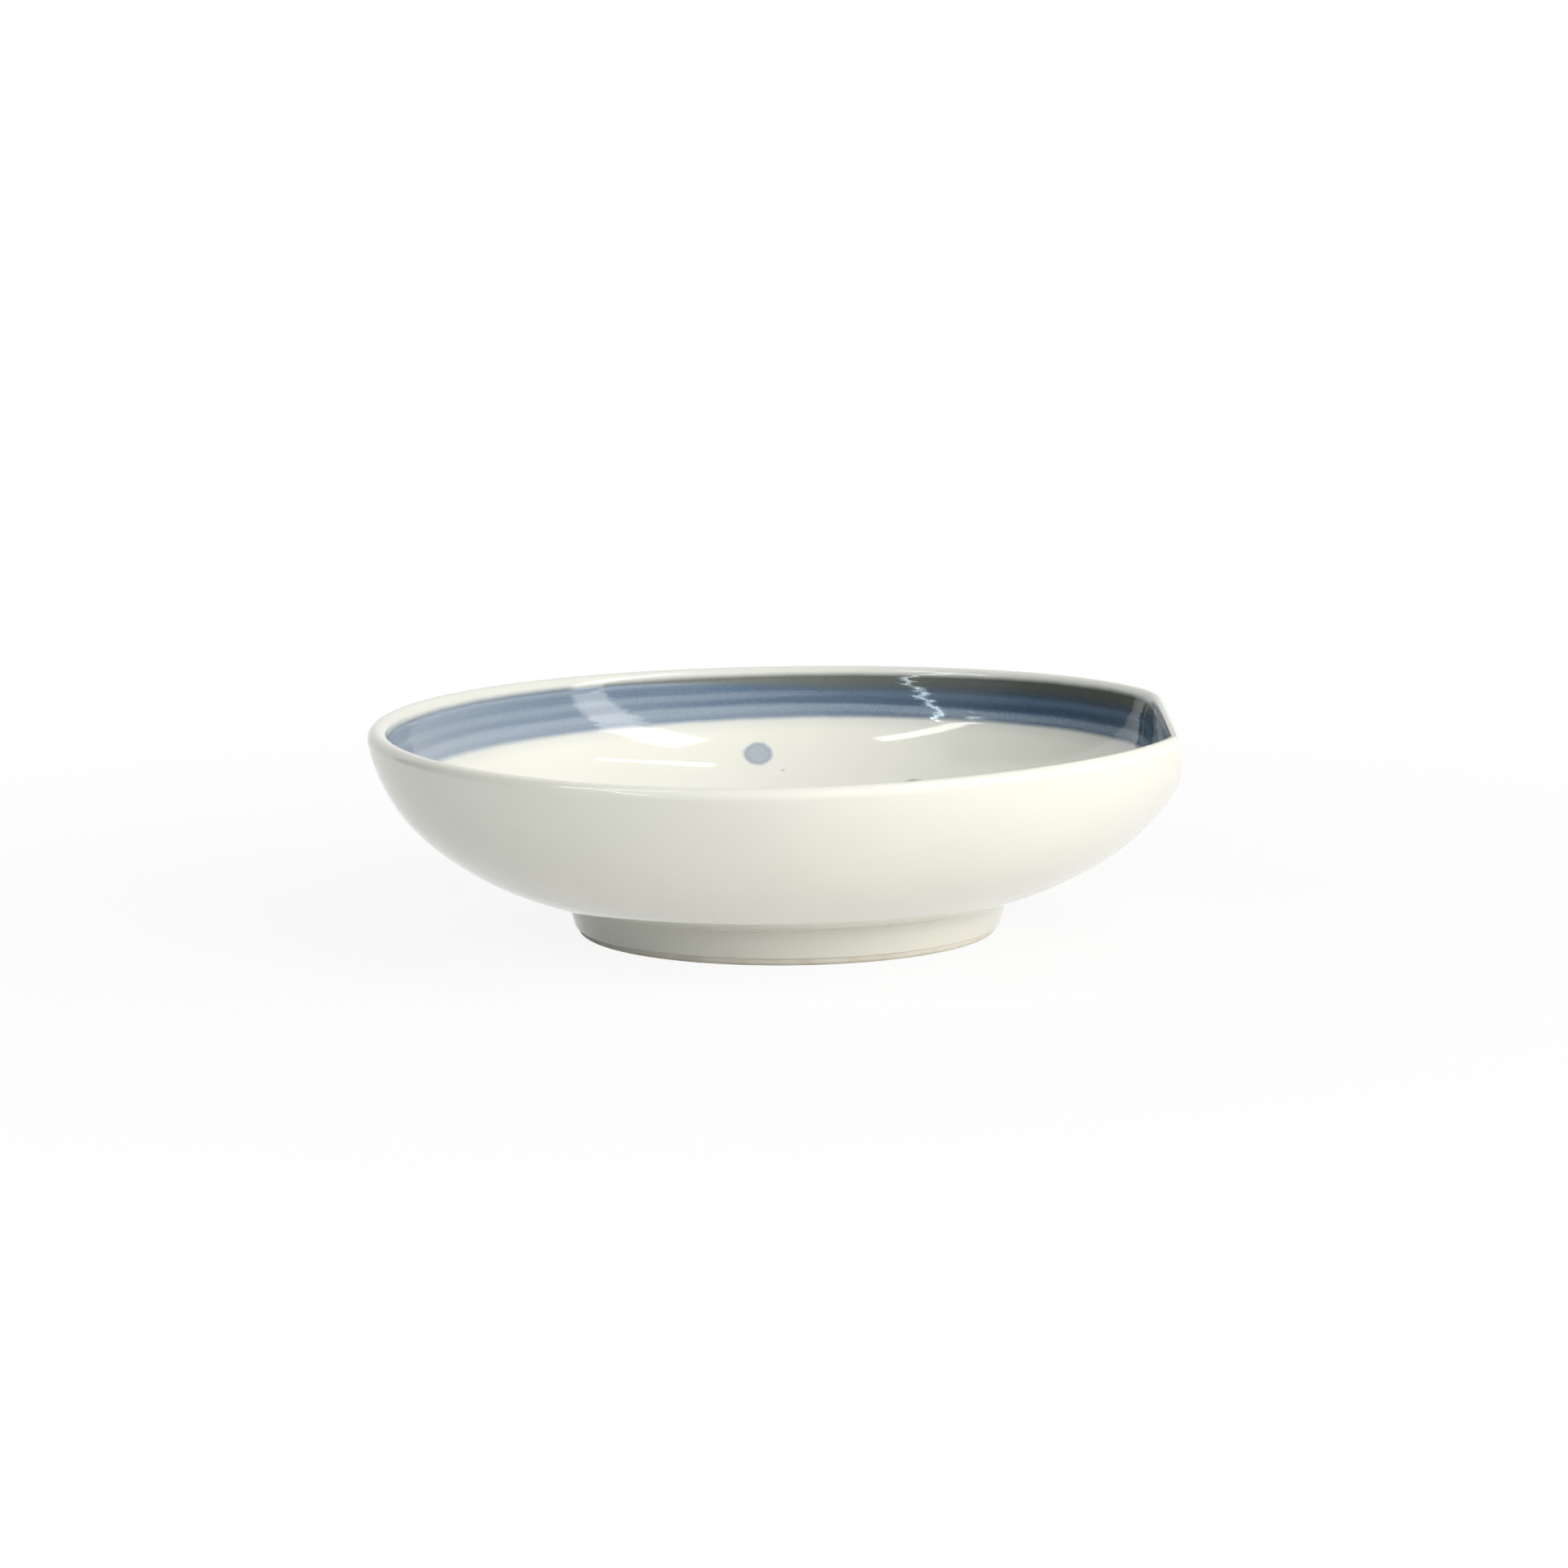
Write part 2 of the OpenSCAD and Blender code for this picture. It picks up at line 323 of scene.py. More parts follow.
    def floor_row(self, r):
        """Height and facing angle of the floor and lower inner wall at radii."""
        wall = self.inner
        flat = wall.low_mid[0]
        low = np.arcsin(np.clip((r - flat) / wall.low_radius, 0, 1))
        high = np.arcsin(np.clip((r - wall.high_mid[0]) / wall.high_radius, 0, 1))
        slope = np.where(r < self.turn_r, low, high)
        z = np.where(r < self.turn_r,
                     wall.low_mid[1] - wall.low_radius * np.cos(low),
                     wall.high_mid[1] - wall.high_radius * np.cos(high))
        return z, slope + math.pi


def smoothstep(t):
    """Rises smoothly from 0 to 1 as t does."""
    t = np.clip(t, 0, 1)
    return t * t * (3 - 2 * t)


def ease(value, start, stop):
    """Rises smoothly from 0 to 1 while a value goes from start to stop."""
    return smoothstep((value - start) / (stop - start))


class Dish:
    """Turns section rows into points round the dish, pressed and warped as it was fired."""

    # Height of the rim's top round the dish: its level, tilt, bow and twist
    RIM_LEVEL = 25.96 * MM
    RIM_TILT = 0.548 * MM
    RIM_BOW = 0.359 * MM
    RIM_TWIST = 0.092 * MM
    RIM_EASE = 0.12 * MM

    # How far the rim, wall and foot stand out or in, and where each of these sets in and ends.
    # A reach is in shares of the height or of the foot's radius, and the soft fillet's is in
    # shares of the way toward the pressed side.
    RIM_SWELL = 0.23 * MM
    RIM_SWELL_POWER = 6
    RIM_SWELL_REACH = (0.7, 0.95)
    BELLY_POWER = 1.3
    BELLY_REACH = (0.8, 1.8)
    SQUEEZE_SPREAD = math.radians(42)
    WALL_TILT = 0.27 * MM
    TILT_START = 5 * MM
    TILT_END = (36 * MM, 48 * MM)
    FOOT_SWELL = 0.4 * MM
    FOOT_SWELL_REACH = (0.4, 0.9)
    FOOT_SWELL_FADE = 3 * MM
    SOFT_FILLET_REACH = (-0.2, 0.7)

    # The pressed side: its bulge, how far it is drawn in, turned and leaned, and its corners.
    # Depths under the rim set where the bulge sets in and the corners fade, and shares of the
    # way toward the back set where the back half begins.
    PRESS_BULGE = 0.035 * MM
    PRESS_IN = 0.22 * MM
    PRESS_SKEW = 0.3 * MM
    PRESS_LEAN = 1.2 * MM
    PRESS_CREASE = 0.8 * MM
    LEAN_FADE = 2.4 * MM
    LESS_LEAN_BACK = 0.3
    LESS_SKEW_UNDER = 0.5
    UNDER_RIM = (1 * MM, 5 * MM)
    BACK_REACH = (-0.5, 0.5)
    CORNER_TURN = (-0.125, 0.125)
    CORNER_FADE = (3.15 * MM, 12.15 * MM)

    # How closely the columns stand at the pressed side and its corners, and the step that
    # measures which way the surface faces
    FINE_STEPS = 20001
    PRESS_DENSITY = 1.2
    CORNER_DENSITY = 7
    CORNER_SPREAD = math.radians(1.6)
    STEP = 0.02 * MM

    def __init__(self, shape, painting):
        self.shape = shape
        self.painting = painting
        self.sharp = Section(shape, painting, shape.sharp_fillet)
        self.soft = Section(shape, painting, shape.soft_fillet)
        self.theta = self.columns(shape.columns)

    def columns(self, count):
        """Directions round the dish, closest together at the pressed side's corners."""
        shape = self.shape
        corner = math.acos(shape.press_reach / shape.rim_radius)
        fine = np.linspace(-math.pi, math.pi, self.FINE_STEPS)
        off = np.abs(np.abs(fine) - corner)
        density = (1 + self.PRESS_DENSITY * (np.abs(fine) < corner)
                   + self.CORNER_DENSITY * np.exp(-(off / self.CORNER_SPREAD) ** 2))
        total = np.concatenate([[0], np.cumsum((density[1:] + density[:-1]) / 2)])
        return np.interp(np.arange(count) / count * total[-1], total, fine)

    def rows(self, *names):
        """Rows of one or more runs that meet, as r, z, a and kind for every column."""
        blend = ease(np.cos(self.theta), *self.SOFT_FILLET_REACH)[None, :, None]
        parts = []
        for number, name in enumerate(names):
            first = min(number, 1)
            sharp = self.sharp.runs[name][first:, None, :]
            soft = self.soft.runs[name][first:, None, :]
            mixed = sharp * (1 - blend) + soft * blend
            kind = np.full(mixed.shape[:2], float(self.sharp.kinds[name]))
            parts.append(np.dstack([mixed, kind]))
        return np.concatenate(parts)

    def lean(self, r, z, theta):
        """How far the firing moved the wall out and up at a radius, height and direction."""
        s = self.shape
        toward = np.cos(theta)
        belly = np.clip((z - s.foot_height) / (s.height - s.foot_height), 0, 1)
        belly = np.sin(math.pi * belly) ** self.BELLY_POWER * ease(r / s.foot_top, *self.BELLY_REACH)
        press = np.exp(-(theta / self.SQUEEZE_SPREAD) ** 2)
        out = belly * (s.swell * smoothstep(-toward) - s.squeeze * press)
        high = ease(z / s.height, *self.RIM_SWELL_REACH)
        out = out + self.RIM_SWELL * np.maximum(-toward, 0) ** self.RIM_SWELL_POWER * high
        foot = 1 - ease(z, s.foot_height, s.foot_height + self.FOOT_SWELL_FADE)
        foot = foot * ease(r / s.foot_top, *self.FOOT_SWELL_REACH)
        out = out + self.FOOT_SWELL * (1 + toward) / 2 * foot
        low = ease(r, s.foot_top, s.foot_top + self.TILT_START) * (1 - ease(r, *self.TILT_END))
        return out, self.WALL_TILT * toward * low

    def chord(self, r, z, y, kind, depth):
        """Where the pressed side lies along X for points of the inner wall, rim or outer wall."""
        s = self.shape
        half = s.rim_width / 2
        wall = (half - depth) * math.sin(s.rim_slope)
        across = np.where(kind == 0, r - self.sharp.rim_mid[0], kind * wall)
        under = ease(s.height - z, *self.UNDER_RIM) * (kind > 0)
        back = ease(y / s.rim_radius, *self.BACK_REACH)
        deep = np.maximum(s.height - z - self.PRESS_CREASE, 0) / self.LEAN_FADE
        lean = self.PRESS_LEAN * (1 - self.LESS_LEAN_BACK * back) * (1 - np.exp(-deep))
        skew = self.PRESS_SKEW * back * (1 - self.LESS_SKEW_UNDER * under)
        return (s.press_reach - half * s.pinch + across * s.pinch
                + self.PRESS_BULGE * under - self.PRESS_IN * (1 - under)
                - skew - lean * (kind < 0))

    def rim_drop(self, theta):
        """How far the rim's top stands under the full height."""
        s = self.shape
        top = (self.RIM_LEVEL + self.RIM_TILT * np.cos(theta)
               + self.RIM_BOW * np.cos(2 * theta) - self.RIM_TWIST * np.sin(2 * theta))
        return self.RIM_EASE * np.log1p(np.exp((s.height - top) / self.RIM_EASE))

    def place(self, rows, theta, depth=0.0):
        """Points of rows (r, z, a, kind) at directions theta, at a depth under the surface."""
        s = self.shape
        r, z, a, kind = np.moveaxis(rows, -1, 0)
        r = r - depth * np.sin(a)
        z = z + depth * np.cos(a)
        rise = smoothstep((z - s.floor_top) / (s.height - s.floor_top))
        out, up = self.lean(r, z, theta)
        x = (r + out) * np.cos(theta) + s.rim_shift * rise
        y = (r + out) * np.sin(theta)
        side = ease(np.sin(theta), *self.CORNER_TURN)
        corner = np.exp(math.log(s.front_corner) * (1 - side) + math.log(s.back_corner) * side)
        fade = ease(s.height - z, *self.CORNER_FADE)
        corner = corner * (1 - fade) + s.low_corner * fade
        beyond = np.maximum(x, 0) / self.chord(r, z, y, kind, depth)
        pull = (1 + beyond ** corner) ** (-1 / corner)
        z = z + up - self.rim_drop(theta) * rise
        return np.stack([x * pull + MIDDLE_X, y * pull, z], axis=-1)

    def normals(self, rows, theta):
        """Directions that the finished surface faces at rows and directions theta."""
        a = rows[..., 2]
        step = np.zeros_like(rows)
        step[..., 0] = self.STEP * np.cos(a)
        step[..., 1] = self.STEP * np.sin(a)
        turn = self.STEP / self.shape.rim_radius
        along = self.place(rows + step, theta) - self.place(rows - step, theta)
        across = self.place(rows, theta + turn) - self.place(rows, theta - turn)
        found = np.cross(along, across)
        out = np.stack([np.sin(a) * np.cos(theta), np.sin(a) * np.sin(theta), -np.cos(a)], axis=-1)
        found *= np.sign((found * out).sum(-1, keepdims=True))
        size = np.linalg.norm(found, axis=-1, keepdims=True)
        small = size < NO_NORMAL
        return np.where(small, out, found / np.where(small, 1, size))

    def floor_rows(self, r):
        """Rows of the floor and lower inner wall at given radii."""
        z, a = self.sharp.floor_row(r)
        return np.stack([r, z, a, np.full_like(r, -1.0)], axis=-1)


def put(name, data):
    """Puts a mesh, lamp or camera in the scene and gives its object."""
    made = bpy.data.objects.new(name, data)
    bpy.context.scene.collection.objects.link(made)
    return made


class Solid:
    """Points, faces and facing directions of one closed piece."""

    def __init__(self):
        self.points = []
        self.faces = []
        self.corner_normals = []
        self.count = 0

    def add(self, points):
        """Keeps points and gives their numbers, in the same layout."""
        points = np.asarray(points)
        flat = points.reshape(-1, 3)
        numbers = np.arange(self.count, self.count + len(flat)).reshape(points.shape[:-1])
        self.points.append(flat)
        self.count += len(flat)
        return numbers

    def face(self, numbers, normals=None):
        """Keeps one face. Faces without normals are flat."""
        self.faces.append([int(n) for n in numbers])
        self.corner_normals.append(normals)

    def strip(self, low, high, low_normals=None, high_normals=None, keep=None, wrap=True):
        """Quads between two rows of point numbers."""
        count = len(low) if wrap else len(low) - 1
        for j in range(count):
            if keep is not None and not keep[j]:
                continue
            k = (j + 1) % len(low)
            quad = [low[j], low[k], high[k], high[j]]
            shade = None
            if low_normals is not None:
                shade = [low_normals[j], low_normals[k], high_normals[k], high_normals[j]]
            self.face(quad, shade)

    def fan(self, ring, pole, ring_normals=None, pole_normal=None):
        """Triangles from a ring of points to one point."""
        for j in range(len(ring)):
            k = (j + 1) % len(ring)
            shade = None
            if ring_normals is not None:
                shade = [ring_normals[j], ring_normals[k], pole_normal]
            self.face([ring[j], ring[k], pole], shade)

    def build(self, name, node, slot, material):
        """Makes the object, turns its faces outward, hangs it under the root body and hides the CAD
        part it stands for.
        """
        used = sorted({number for face in self.faces for number in face})
        place = {number: order for order, number in enumerate(used)}
        faces = [[place[number] for number in face] for face in self.faces]
        mesh = bpy.data.meshes.new(name)
        mesh.from_pydata(np.concatenate(self.points)[used].tolist(), [], faces)
        work = bmesh.new()
        work.from_mesh(mesh)
        bmesh.ops.recalc_face_normals(work, faces=work.faces)
        work.to_mesh(mesh)
        work.free()
        shades = []
        for polygon, corners, given in zip(mesh.polygons, faces, self.corner_normals):
            polygon.use_smooth = given is not None
            if given is None:
                shades.extend([polygon.normal[:]] * polygon.loop_total)
                continue
            by_point = dict(zip(corners, given))
            shades.extend(tuple(by_point[vertex]) for vertex in polygon.vertices)
        mesh.normals_split_custom_set(shades)
        mesh.materials.append(material)
        piece = put(name, mesh)
        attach(piece, "root")
        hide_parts(node)
        return piece


def join(solid, low, high, smooth):
    """Faces between two rows, either of which may be a single point on the axis."""
    low_numbers, low_shade, low_pole = low
    high_numbers, high_shade, high_pole = high
    if low_pole and high_pole:
        return
    if low_pole:
        solid.fan(high_numbers, low_numbers[0], high_shade if smooth else None, low_shade[0])
    elif high_pole:
        solid.fan(low_numbers, high_numbers[0], low_shade if smooth else None, high_shade[0])
    elif smooth:
        solid.strip(low_numbers, high_numbers, low_shade, high_shade)
    else:
        solid.strip(low_numbers, high_numbers)


def add_rows(solid, dish, names, depth, outward):
    """Adds a chain of runs to a solid and gives its rows, in the order in which they join."""
    rows = dish.rows(*names)
    points = dish.place(rows, dish.theta, depth)
    shades = dish.normals(rows, dish.theta)
    if not outward:
        points, shades = points[::-1], -shades[::-1]
    made = []
    for row, shade in zip(points, shades):
        pole = np.abs(row - row[0]).max() < POLE_SIZE
        made.append((solid.add(row[:1] if pole else row), shade, pole))
    return made


def shell(dish, *chains):
    """A closed solid from chains of runs (names, depth, outward), joined end to end."""
    solid = Solid()
    added = [add_rows(solid, dish, *chain_) for chain_ in chains]
    for made in added:
        for low, high in zip(made, made[1:]):
            join(solid, low, high, True)
    for before, after in zip(added, added[1:] + added[:1]):
        join(solid, before[-1], after[0], False)
    return solid


# How far out each dot stands, in shares of its ring's radius, from the first dot round
MIDDLE_DOT = (0.05,)
INNER_DOTS = (1, 0.96, 1.03, 0.98, 1.02, 0.97)
OUTER_DOTS = (1.03, 0.87, 0.98, 0.88, 1, 0.87, 0.99, 0.86, 0.97, 0.88, 0.985, 0.91)


def dot_places(painting):
    """Radius and direction of every dot: one by the middle, a ring round it and a ring beyond."""
    rings = ((painting.inner_ring, MIDDLE_DOT), (painting.inner_ring, INNER_DOTS),
             (painting.outer_ring, OUTER_DOTS))
    return [
        (ring * reach, painting.first_turn + 2 * math.pi * number / len(reaches))
        for ring, reaches in rings
        for number, reach in enumerate(reaches)
    ]


class Spot:
    """One dot on the floor's grid: the block of cells that it takes up, and its round edge."""

    MARGIN = 1.4
    RINGS = (1.0, 0.7, 0.35)

    def __init__(self, dish, radii, reach, turn):
        self.dish = dish
        size = dish.painting.dot_radius
        slope = float(dish.sharp.floor_row(np.array([reach]))[1][0]) - math.pi
        self.out = np.array([math.cos(turn), math.sin(turn)])
        self.side = np.array([-math.sin(turn), math.cos(turn)])
        self.middle = reach * self.out
        self.sizes = np.array([size * math.cos(slope), size])
        last = len(radii) - 1
        high = min(int(np.searchsorted(radii, reach + self.sizes[0] * self.MARGIN)), last)
        count = len(dish.theta)
        self.whole = reach < size * self.MARGIN
        if self.whole:
            self.rows = (0, high)
            self.columns = list(range(count))
            self.outline = [(high, j) for j in range(count)]
            return
        low = int(np.searchsorted(radii, reach - self.sizes[0] * self.MARGIN)) - 1
        off = (dish.theta - turn + math.pi) % (2 * math.pi) - math.pi
        first = int(np.argmin(np.where(off > -size * self.MARGIN / reach, off, math.inf))) - 1
        steps = int((np.abs(off) < size * self.MARGIN / reach).sum()) + 1
        self.rows = (low, high)
        self.columns = [(first + j) % count for j in range(steps + 1)]
        self.outline = (
            [(high, j) for j in self.columns[:-1]]
            + [(i, self.columns[-1]) for i in range(high, low, -1)]
            + [(low, j) for j in self.columns[:0:-1]]
            + [(i, self.columns[0]) for i in range(low, high)])

    def cells(self):
        """Grid cells, as (row, column), that the block takes out of the floor."""
        columns = self.columns if self.whole else self.columns[:-1]
        return {(i, j) for i in range(*self.rows) for j in columns}

    def edge(self, radii):
        """Angles round the dot of its edge points, in step with the outline."""
        polar = np.array([(radii[i] * math.cos(self.dish.theta[j]),
                           radii[i] * math.sin(self.dish.theta[j])) for i, j in self.outline])
        off = polar - self.middle
        around = np.unwrap(np.arctan2(off @ self.side / self.sizes[1],
                                      off @ self.out / self.sizes[0]))
        if self.whole:
            return around
        following = np.append(around[1:], around[0] + 2 * math.pi * np.sign(around[-1] - around[0]))
        return np.column_stack([around, (around + following) / 2]).ravel()

    def ring(self, around, share_out):
        """Rows and directions of points round the dot, at a share of its radius."""
        flat = (self.middle
                + np.outer(np.cos(around) * self.sizes[0] * share_out, self.out)
                + np.outer(np.sin(around) * self.sizes[1] * share_out, self.side))
        reach = np.hypot(flat[:, 0], flat[:, 1])
        return self.dish.floor_rows(reach), np.arctan2(flat[:, 1], flat[:, 0])


def floor_spots(dish):
    """Every dot on the floor's grid, and the radii of the grid's rows."""
    radii = dish.sharp.runs["floor"][:, 0]
    return [Spot(dish, radii, *place) for place in dot_places(dish.painting)], radii


def floor_with_holes(dish, spots, radii):
    """The inside glaze as one closed solid with a hole for each dot."""
    solid = Solid()
    gone = set().union(*(spot.cells() for spot in spots))
    edges = []
    for depth, outward in ((0.0, True), (dish.shape.glaze, False)):
        made = add_rows(solid, dish, ("floor",), depth, outward)
        made = made if outward else made[::-1]
        for i, (low, high) in enumerate(zip(made, made[1:])):
            if low[2]:
                continue
            keep = [(i, j) not in gone for j in range(len(dish.theta))]
            solid.strip(low[0], high[0], low[1], high[1], keep)
        sign = 1 if outward else -1
        rings = []
        for spot in spots:
            rows, theta = spot.ring(spot.edge(radii), 1.0)
            inner = solid.add(dish.place(rows, theta, depth))
            shades = dish.normals(rows, theta) * sign
            outer = [made[i][0][j] for i, j in spot.outline]
            outer_shades = [made[i][1][j] for i, j in spot.outline]
            bridge(solid, outer, outer_shades, inner, shades)
            rings.append(inner)
        edges.append((made[-1], rings))
    (top_rim, top_rings), (low_rim, low_rings) = edges
    solid.strip(top_rim[0], low_rim[0])
    for top, low in zip(top_rings, low_rings):
        solid.strip(top, low)
    return solid


def bridge(solid, outer, outer_shades, inner, shades):
    """Faces between a block's outline and a round edge with as many points or twice as many."""
    count = len(outer)
    double = len(inner) // count
    for k in range(count):
        n = (k + 1) % count
        a, b = outer[k], outer[n]
        sa, sb = outer_shades[k], outer_shades[n]
        if double == 1:
            solid.face([a, b, inner[n], inner[k]], [sa, sb, shades[n], shades[k]])
            continue
        first, middle, last = 2 * k, 2 * k + 1, 2 * n
        for corners in (((a, sa), first, middle), ((a, sa), (b, sb), middle), ((b, sb), middle, last)):
            pairs = [c if isinstance(c, tuple) else (inner[c], shades[c]) for c in corners]
            solid.face([p[0] for p in pairs], [p[1] for p in pairs])


def dot_patches(dish, spots, radii):
    """Every dot as a thin closed patch of stained glaze."""
    solid = Solid()
    for spot in spots:
        around = spot.edge(radii)
        sides = []
        for depth, sign in ((0.0, 1), (dish.shape.glaze, -1)):
            rings = []
            for share_out in Spot.RINGS:
                rows, theta = spot.ring(around, share_out)
                rings.append((solid.add(dish.place(rows, theta, depth)),
                              dish.normals(rows, theta) * sign))
            rows, theta = spot.ring(around[:1], 0.0)
            pole = solid.add(dish.place(rows, theta, depth))[0]
            pole_shade = dish.normals(rows, theta)[0] * sign
            for (low, low_shade), (high, high_shade) in zip(rings, rings[1:]):
                solid.strip(low, high, low_shade, high_shade)
            solid.fan(rings[-1][0], pole, rings[-1][1], pole_shade)
            sides.append(rings[0][0])
        solid.strip(sides[0], sides[1])
    return solid


class Board:
    """Makes and links the nodes of one node tree."""

    def __init__(self, tree):
        self.tree = tree

    def feed(self, socket, value):
        """Links a socket to another, or sets its own value."""
        if isinstance(value, bpy.types.NodeSocket):
            self.tree.links.new(value, socket)
        else:
            socket.default_value = value

    def node(self, kind, inputs=None, **settings):
        """Makes a node of a kind, with its settings and inputs."""
        made = self.tree.nodes.new(kind)
        for name, value in settings.items():
            setattr(made, name, value)
        for key, value in (inputs or {}).items():
            self.feed(made.inputs[key], value)
        return made

    def group(self, name, inputs):
        """Places a shared node group and gives its outputs."""
        return self.node("ShaderNodeGroup", inputs, node_tree=bpy.data.node_groups[name]).outputs

    def math(self, operation, *values, clamp=False):
        """One step of arithmetic."""
        return self.node("ShaderNodeMath", dict(enumerate(values)), operation=operation,
                         use_clamp=clamp).outputs[0]

    def total(self, first, *others):
        """The sum of values."""
        for other in others:
            first = self.math("ADD", first, other)
        return first

    def product(self, first, *others):
        """The product of values."""
        for other in others:
            first = self.math("MULTIPLY", first, other)
        return first

    def scaled(self, value, factor, plus=0.0, clamp=False):
        """A value times a factor, and then some."""
        return self.math("MULTIPLY_ADD", value, factor, plus, clamp=clamp)

    def combined(self, x, y, z):
        """A vector of three values."""
        return self.node("ShaderNodeCombineXYZ", {0: x, 1: y, 2: z}).outputs[0]

    def vector(self, operation, a, b):
        """One step of vector arithmetic that gives a vector."""
        return self.node("ShaderNodeVectorMath", {0: a, 1: b}, operation=operation).outputs[0]

    def measure(self, operation, *vectors):
        """One step of vector arithmetic that gives a number."""
        return self.node("ShaderNodeVectorMath", dict(enumerate(vectors)),
                         operation=operation).outputs["Value"]

    def step(self, value, low, high, bottom=0.0, top=1.0):
        """Rises or falls smoothly from bottom to top while a value goes from low to high."""
        made = self.node("ShaderNodeMapRange", {0: value, 1: low, 2: high, 3: bottom, 4: top},
                         interpolation_type="SMOOTHSTEP")
        return made.outputs[0]

    def mix(self, factor, a, b, blend="MIX"):
        """A blend of two colours."""
        made = self.node("ShaderNodeMix", data_type="RGBA", blend_type=blend, clamp_factor=True)
        # The node's inputs 6 and 7 are its two colours
        self.feed(made.inputs[0], factor)
        self.feed(made.inputs[6], a)
        self.feed(made.inputs[7], b)
        return made.outputs[2]

    def shaded(self, tone, shade):
        """A colour made darker or lighter by a value."""
        return self.mix(1.0, tone, self.combined(shade, shade, shade), "MULTIPLY")

    def noise(self, where, scale, detail=2.0, rough=0.5):
        """Soft noise from 0 to 1."""
        made = self.node("ShaderNodeTexNoise", {
            "Vector": where, "Scale": scale, "Detail": detail, "Roughness": rough})
        return made.outputs[0]

    def waver(self, where, width, *noise):
        """Soft noise that swings evenly round 0, over a full width."""
        return self.scaled(self.noise(where, *noise), width, -width / 2)

    def curve(self, value, stops):
        """A smooth curve through given stops (place, height)."""
        made = self.node("ShaderNodeFloatCurve", {1: value})
        points = made.mapping.curves[0].points
        points[0].location, points[1].location = stops[0], stops[-1]
        for stop in stops[1:-1]:
            points.new(*stop)
        made.mapping.update()
        return made.outputs[0]


def new_group(name, inputs, outputs):
    """An empty node group with named sockets. It gives the board, its inputs and its outputs."""
    tree = bpy.data.node_groups.new(name, "ShaderNodeTree")
    kinds = {"value": "NodeSocketFloat", "vector": "NodeSocketVector", "colour": "NodeSocketColor"}
    for label, kind in inputs:
        tree.interface.new_socket(name=label, in_out="INPUT", socket_type=kinds[kind])
    for label, kind in outputs:
        tree.interface.new_socket(name=label, in_out="OUTPUT", socket_type=kinds[kind])
    board = Board(tree)
    return board, board.node("NodeGroupInput").outputs, board.node("NodeGroupOutput").inputs


# Turns metres into millimetres, and the least distance from the middle that is divided by
TO_MM = (1 / MM,) * 3
LEAST_REACH = 0.001


def place_group():
    """Where a point lies on the dish, in millimetres round the middle of the foot."""
    board, given, result = new_group(
        "Place on the dish", [("Point", "vector")],
        [("Around", "vector"), ("Cosine", "value"), ("Sine", "value"), ("Height", "value"),
         ("Point mm", "vector")])
    centred = board.vector("SUBTRACT", given["Point"], (MIDDLE_X, 0, 0))
    scaled = board.vector("MULTIPLY", centred, TO_MM)
    split = board.node("ShaderNodeSeparateXYZ", {0: scaled}).outputs
    flat = board.combined(split[0], split[1], 0.0)
    reach = board.math("MAXIMUM", board.measure("LENGTH", flat), LEAST_REACH)
    cosine = board.math("DIVIDE", split[0], reach)
    sine = board.math("DIVIDE", split[1], reach)
    board.feed(result["Around"], board.combined(cosine, sine, 0.0))
    board.feed(result["Cosine"], cosine)
    board.feed(result["Sine"], sine)
    board.feed(result["Height"], split[2])
    board.feed(result["Point mm"], scaled)


def dots_group(dish):
    """How far a point is from the nearest dot's middle, in millimetres."""
    board, given, result = new_group("Nearest dot", [("Point mm", "vector")],
                                     [("Distance", "value")])
    nearest = None
    for reach, turn in dot_places(dish.painting):
        rows = dish.floor_rows(np.array([reach]))
        spot = (dish.place(rows, np.array([turn]))[0] - (MIDDLE_X, 0, 0)) / MM
        gap = board.measure("DISTANCE", given["Point mm"], tuple(spot))
        nearest = gap if nearest is None else board.math("MINIMUM", nearest, gap)
    board.feed(result["Distance"], nearest)


# How dark the wash is down the band, from its top edge to its lower edge
WASH_STOPS = ((0.0, 0.85), (0.03, 0.9), (0.09, 0.55), (0.15, 0.78), (0.24, 0.95), (0.3, 0.95),
              (0.37, 0.76), (0.43, 0.64), (0.5, 0.74), (0.58, 0.92), (0.63, 0.86), (0.69, 0.5),
              (0.75, 0.34), (0.81, 0.36), (0.87, 0.5), (0.93, 0.58), (0.97, 0.5), (1.0, 0.42))
# How dark the wash is round the dish, from its thinnest side to its heaviest
TURN_STOPS = ((0.0, 0.27), (0.22, 0.28), (0.36, 0.35), (0.45, 0.39), (0.62, 0.45), (0.72, 0.54),
              (0.79, 0.68), (0.87, 0.87), (0.94, 0.99), (1.0, 1.0))
# Small burnt marks in the glaze: place round the middle of the foot and radius, in millimetres
MARKS = ((-0.2, 40.8, 13.35, 0.33), (23.5, -11.45, 1.1, 0.2), (-23.6, -11.6, 1.6, 0.2))


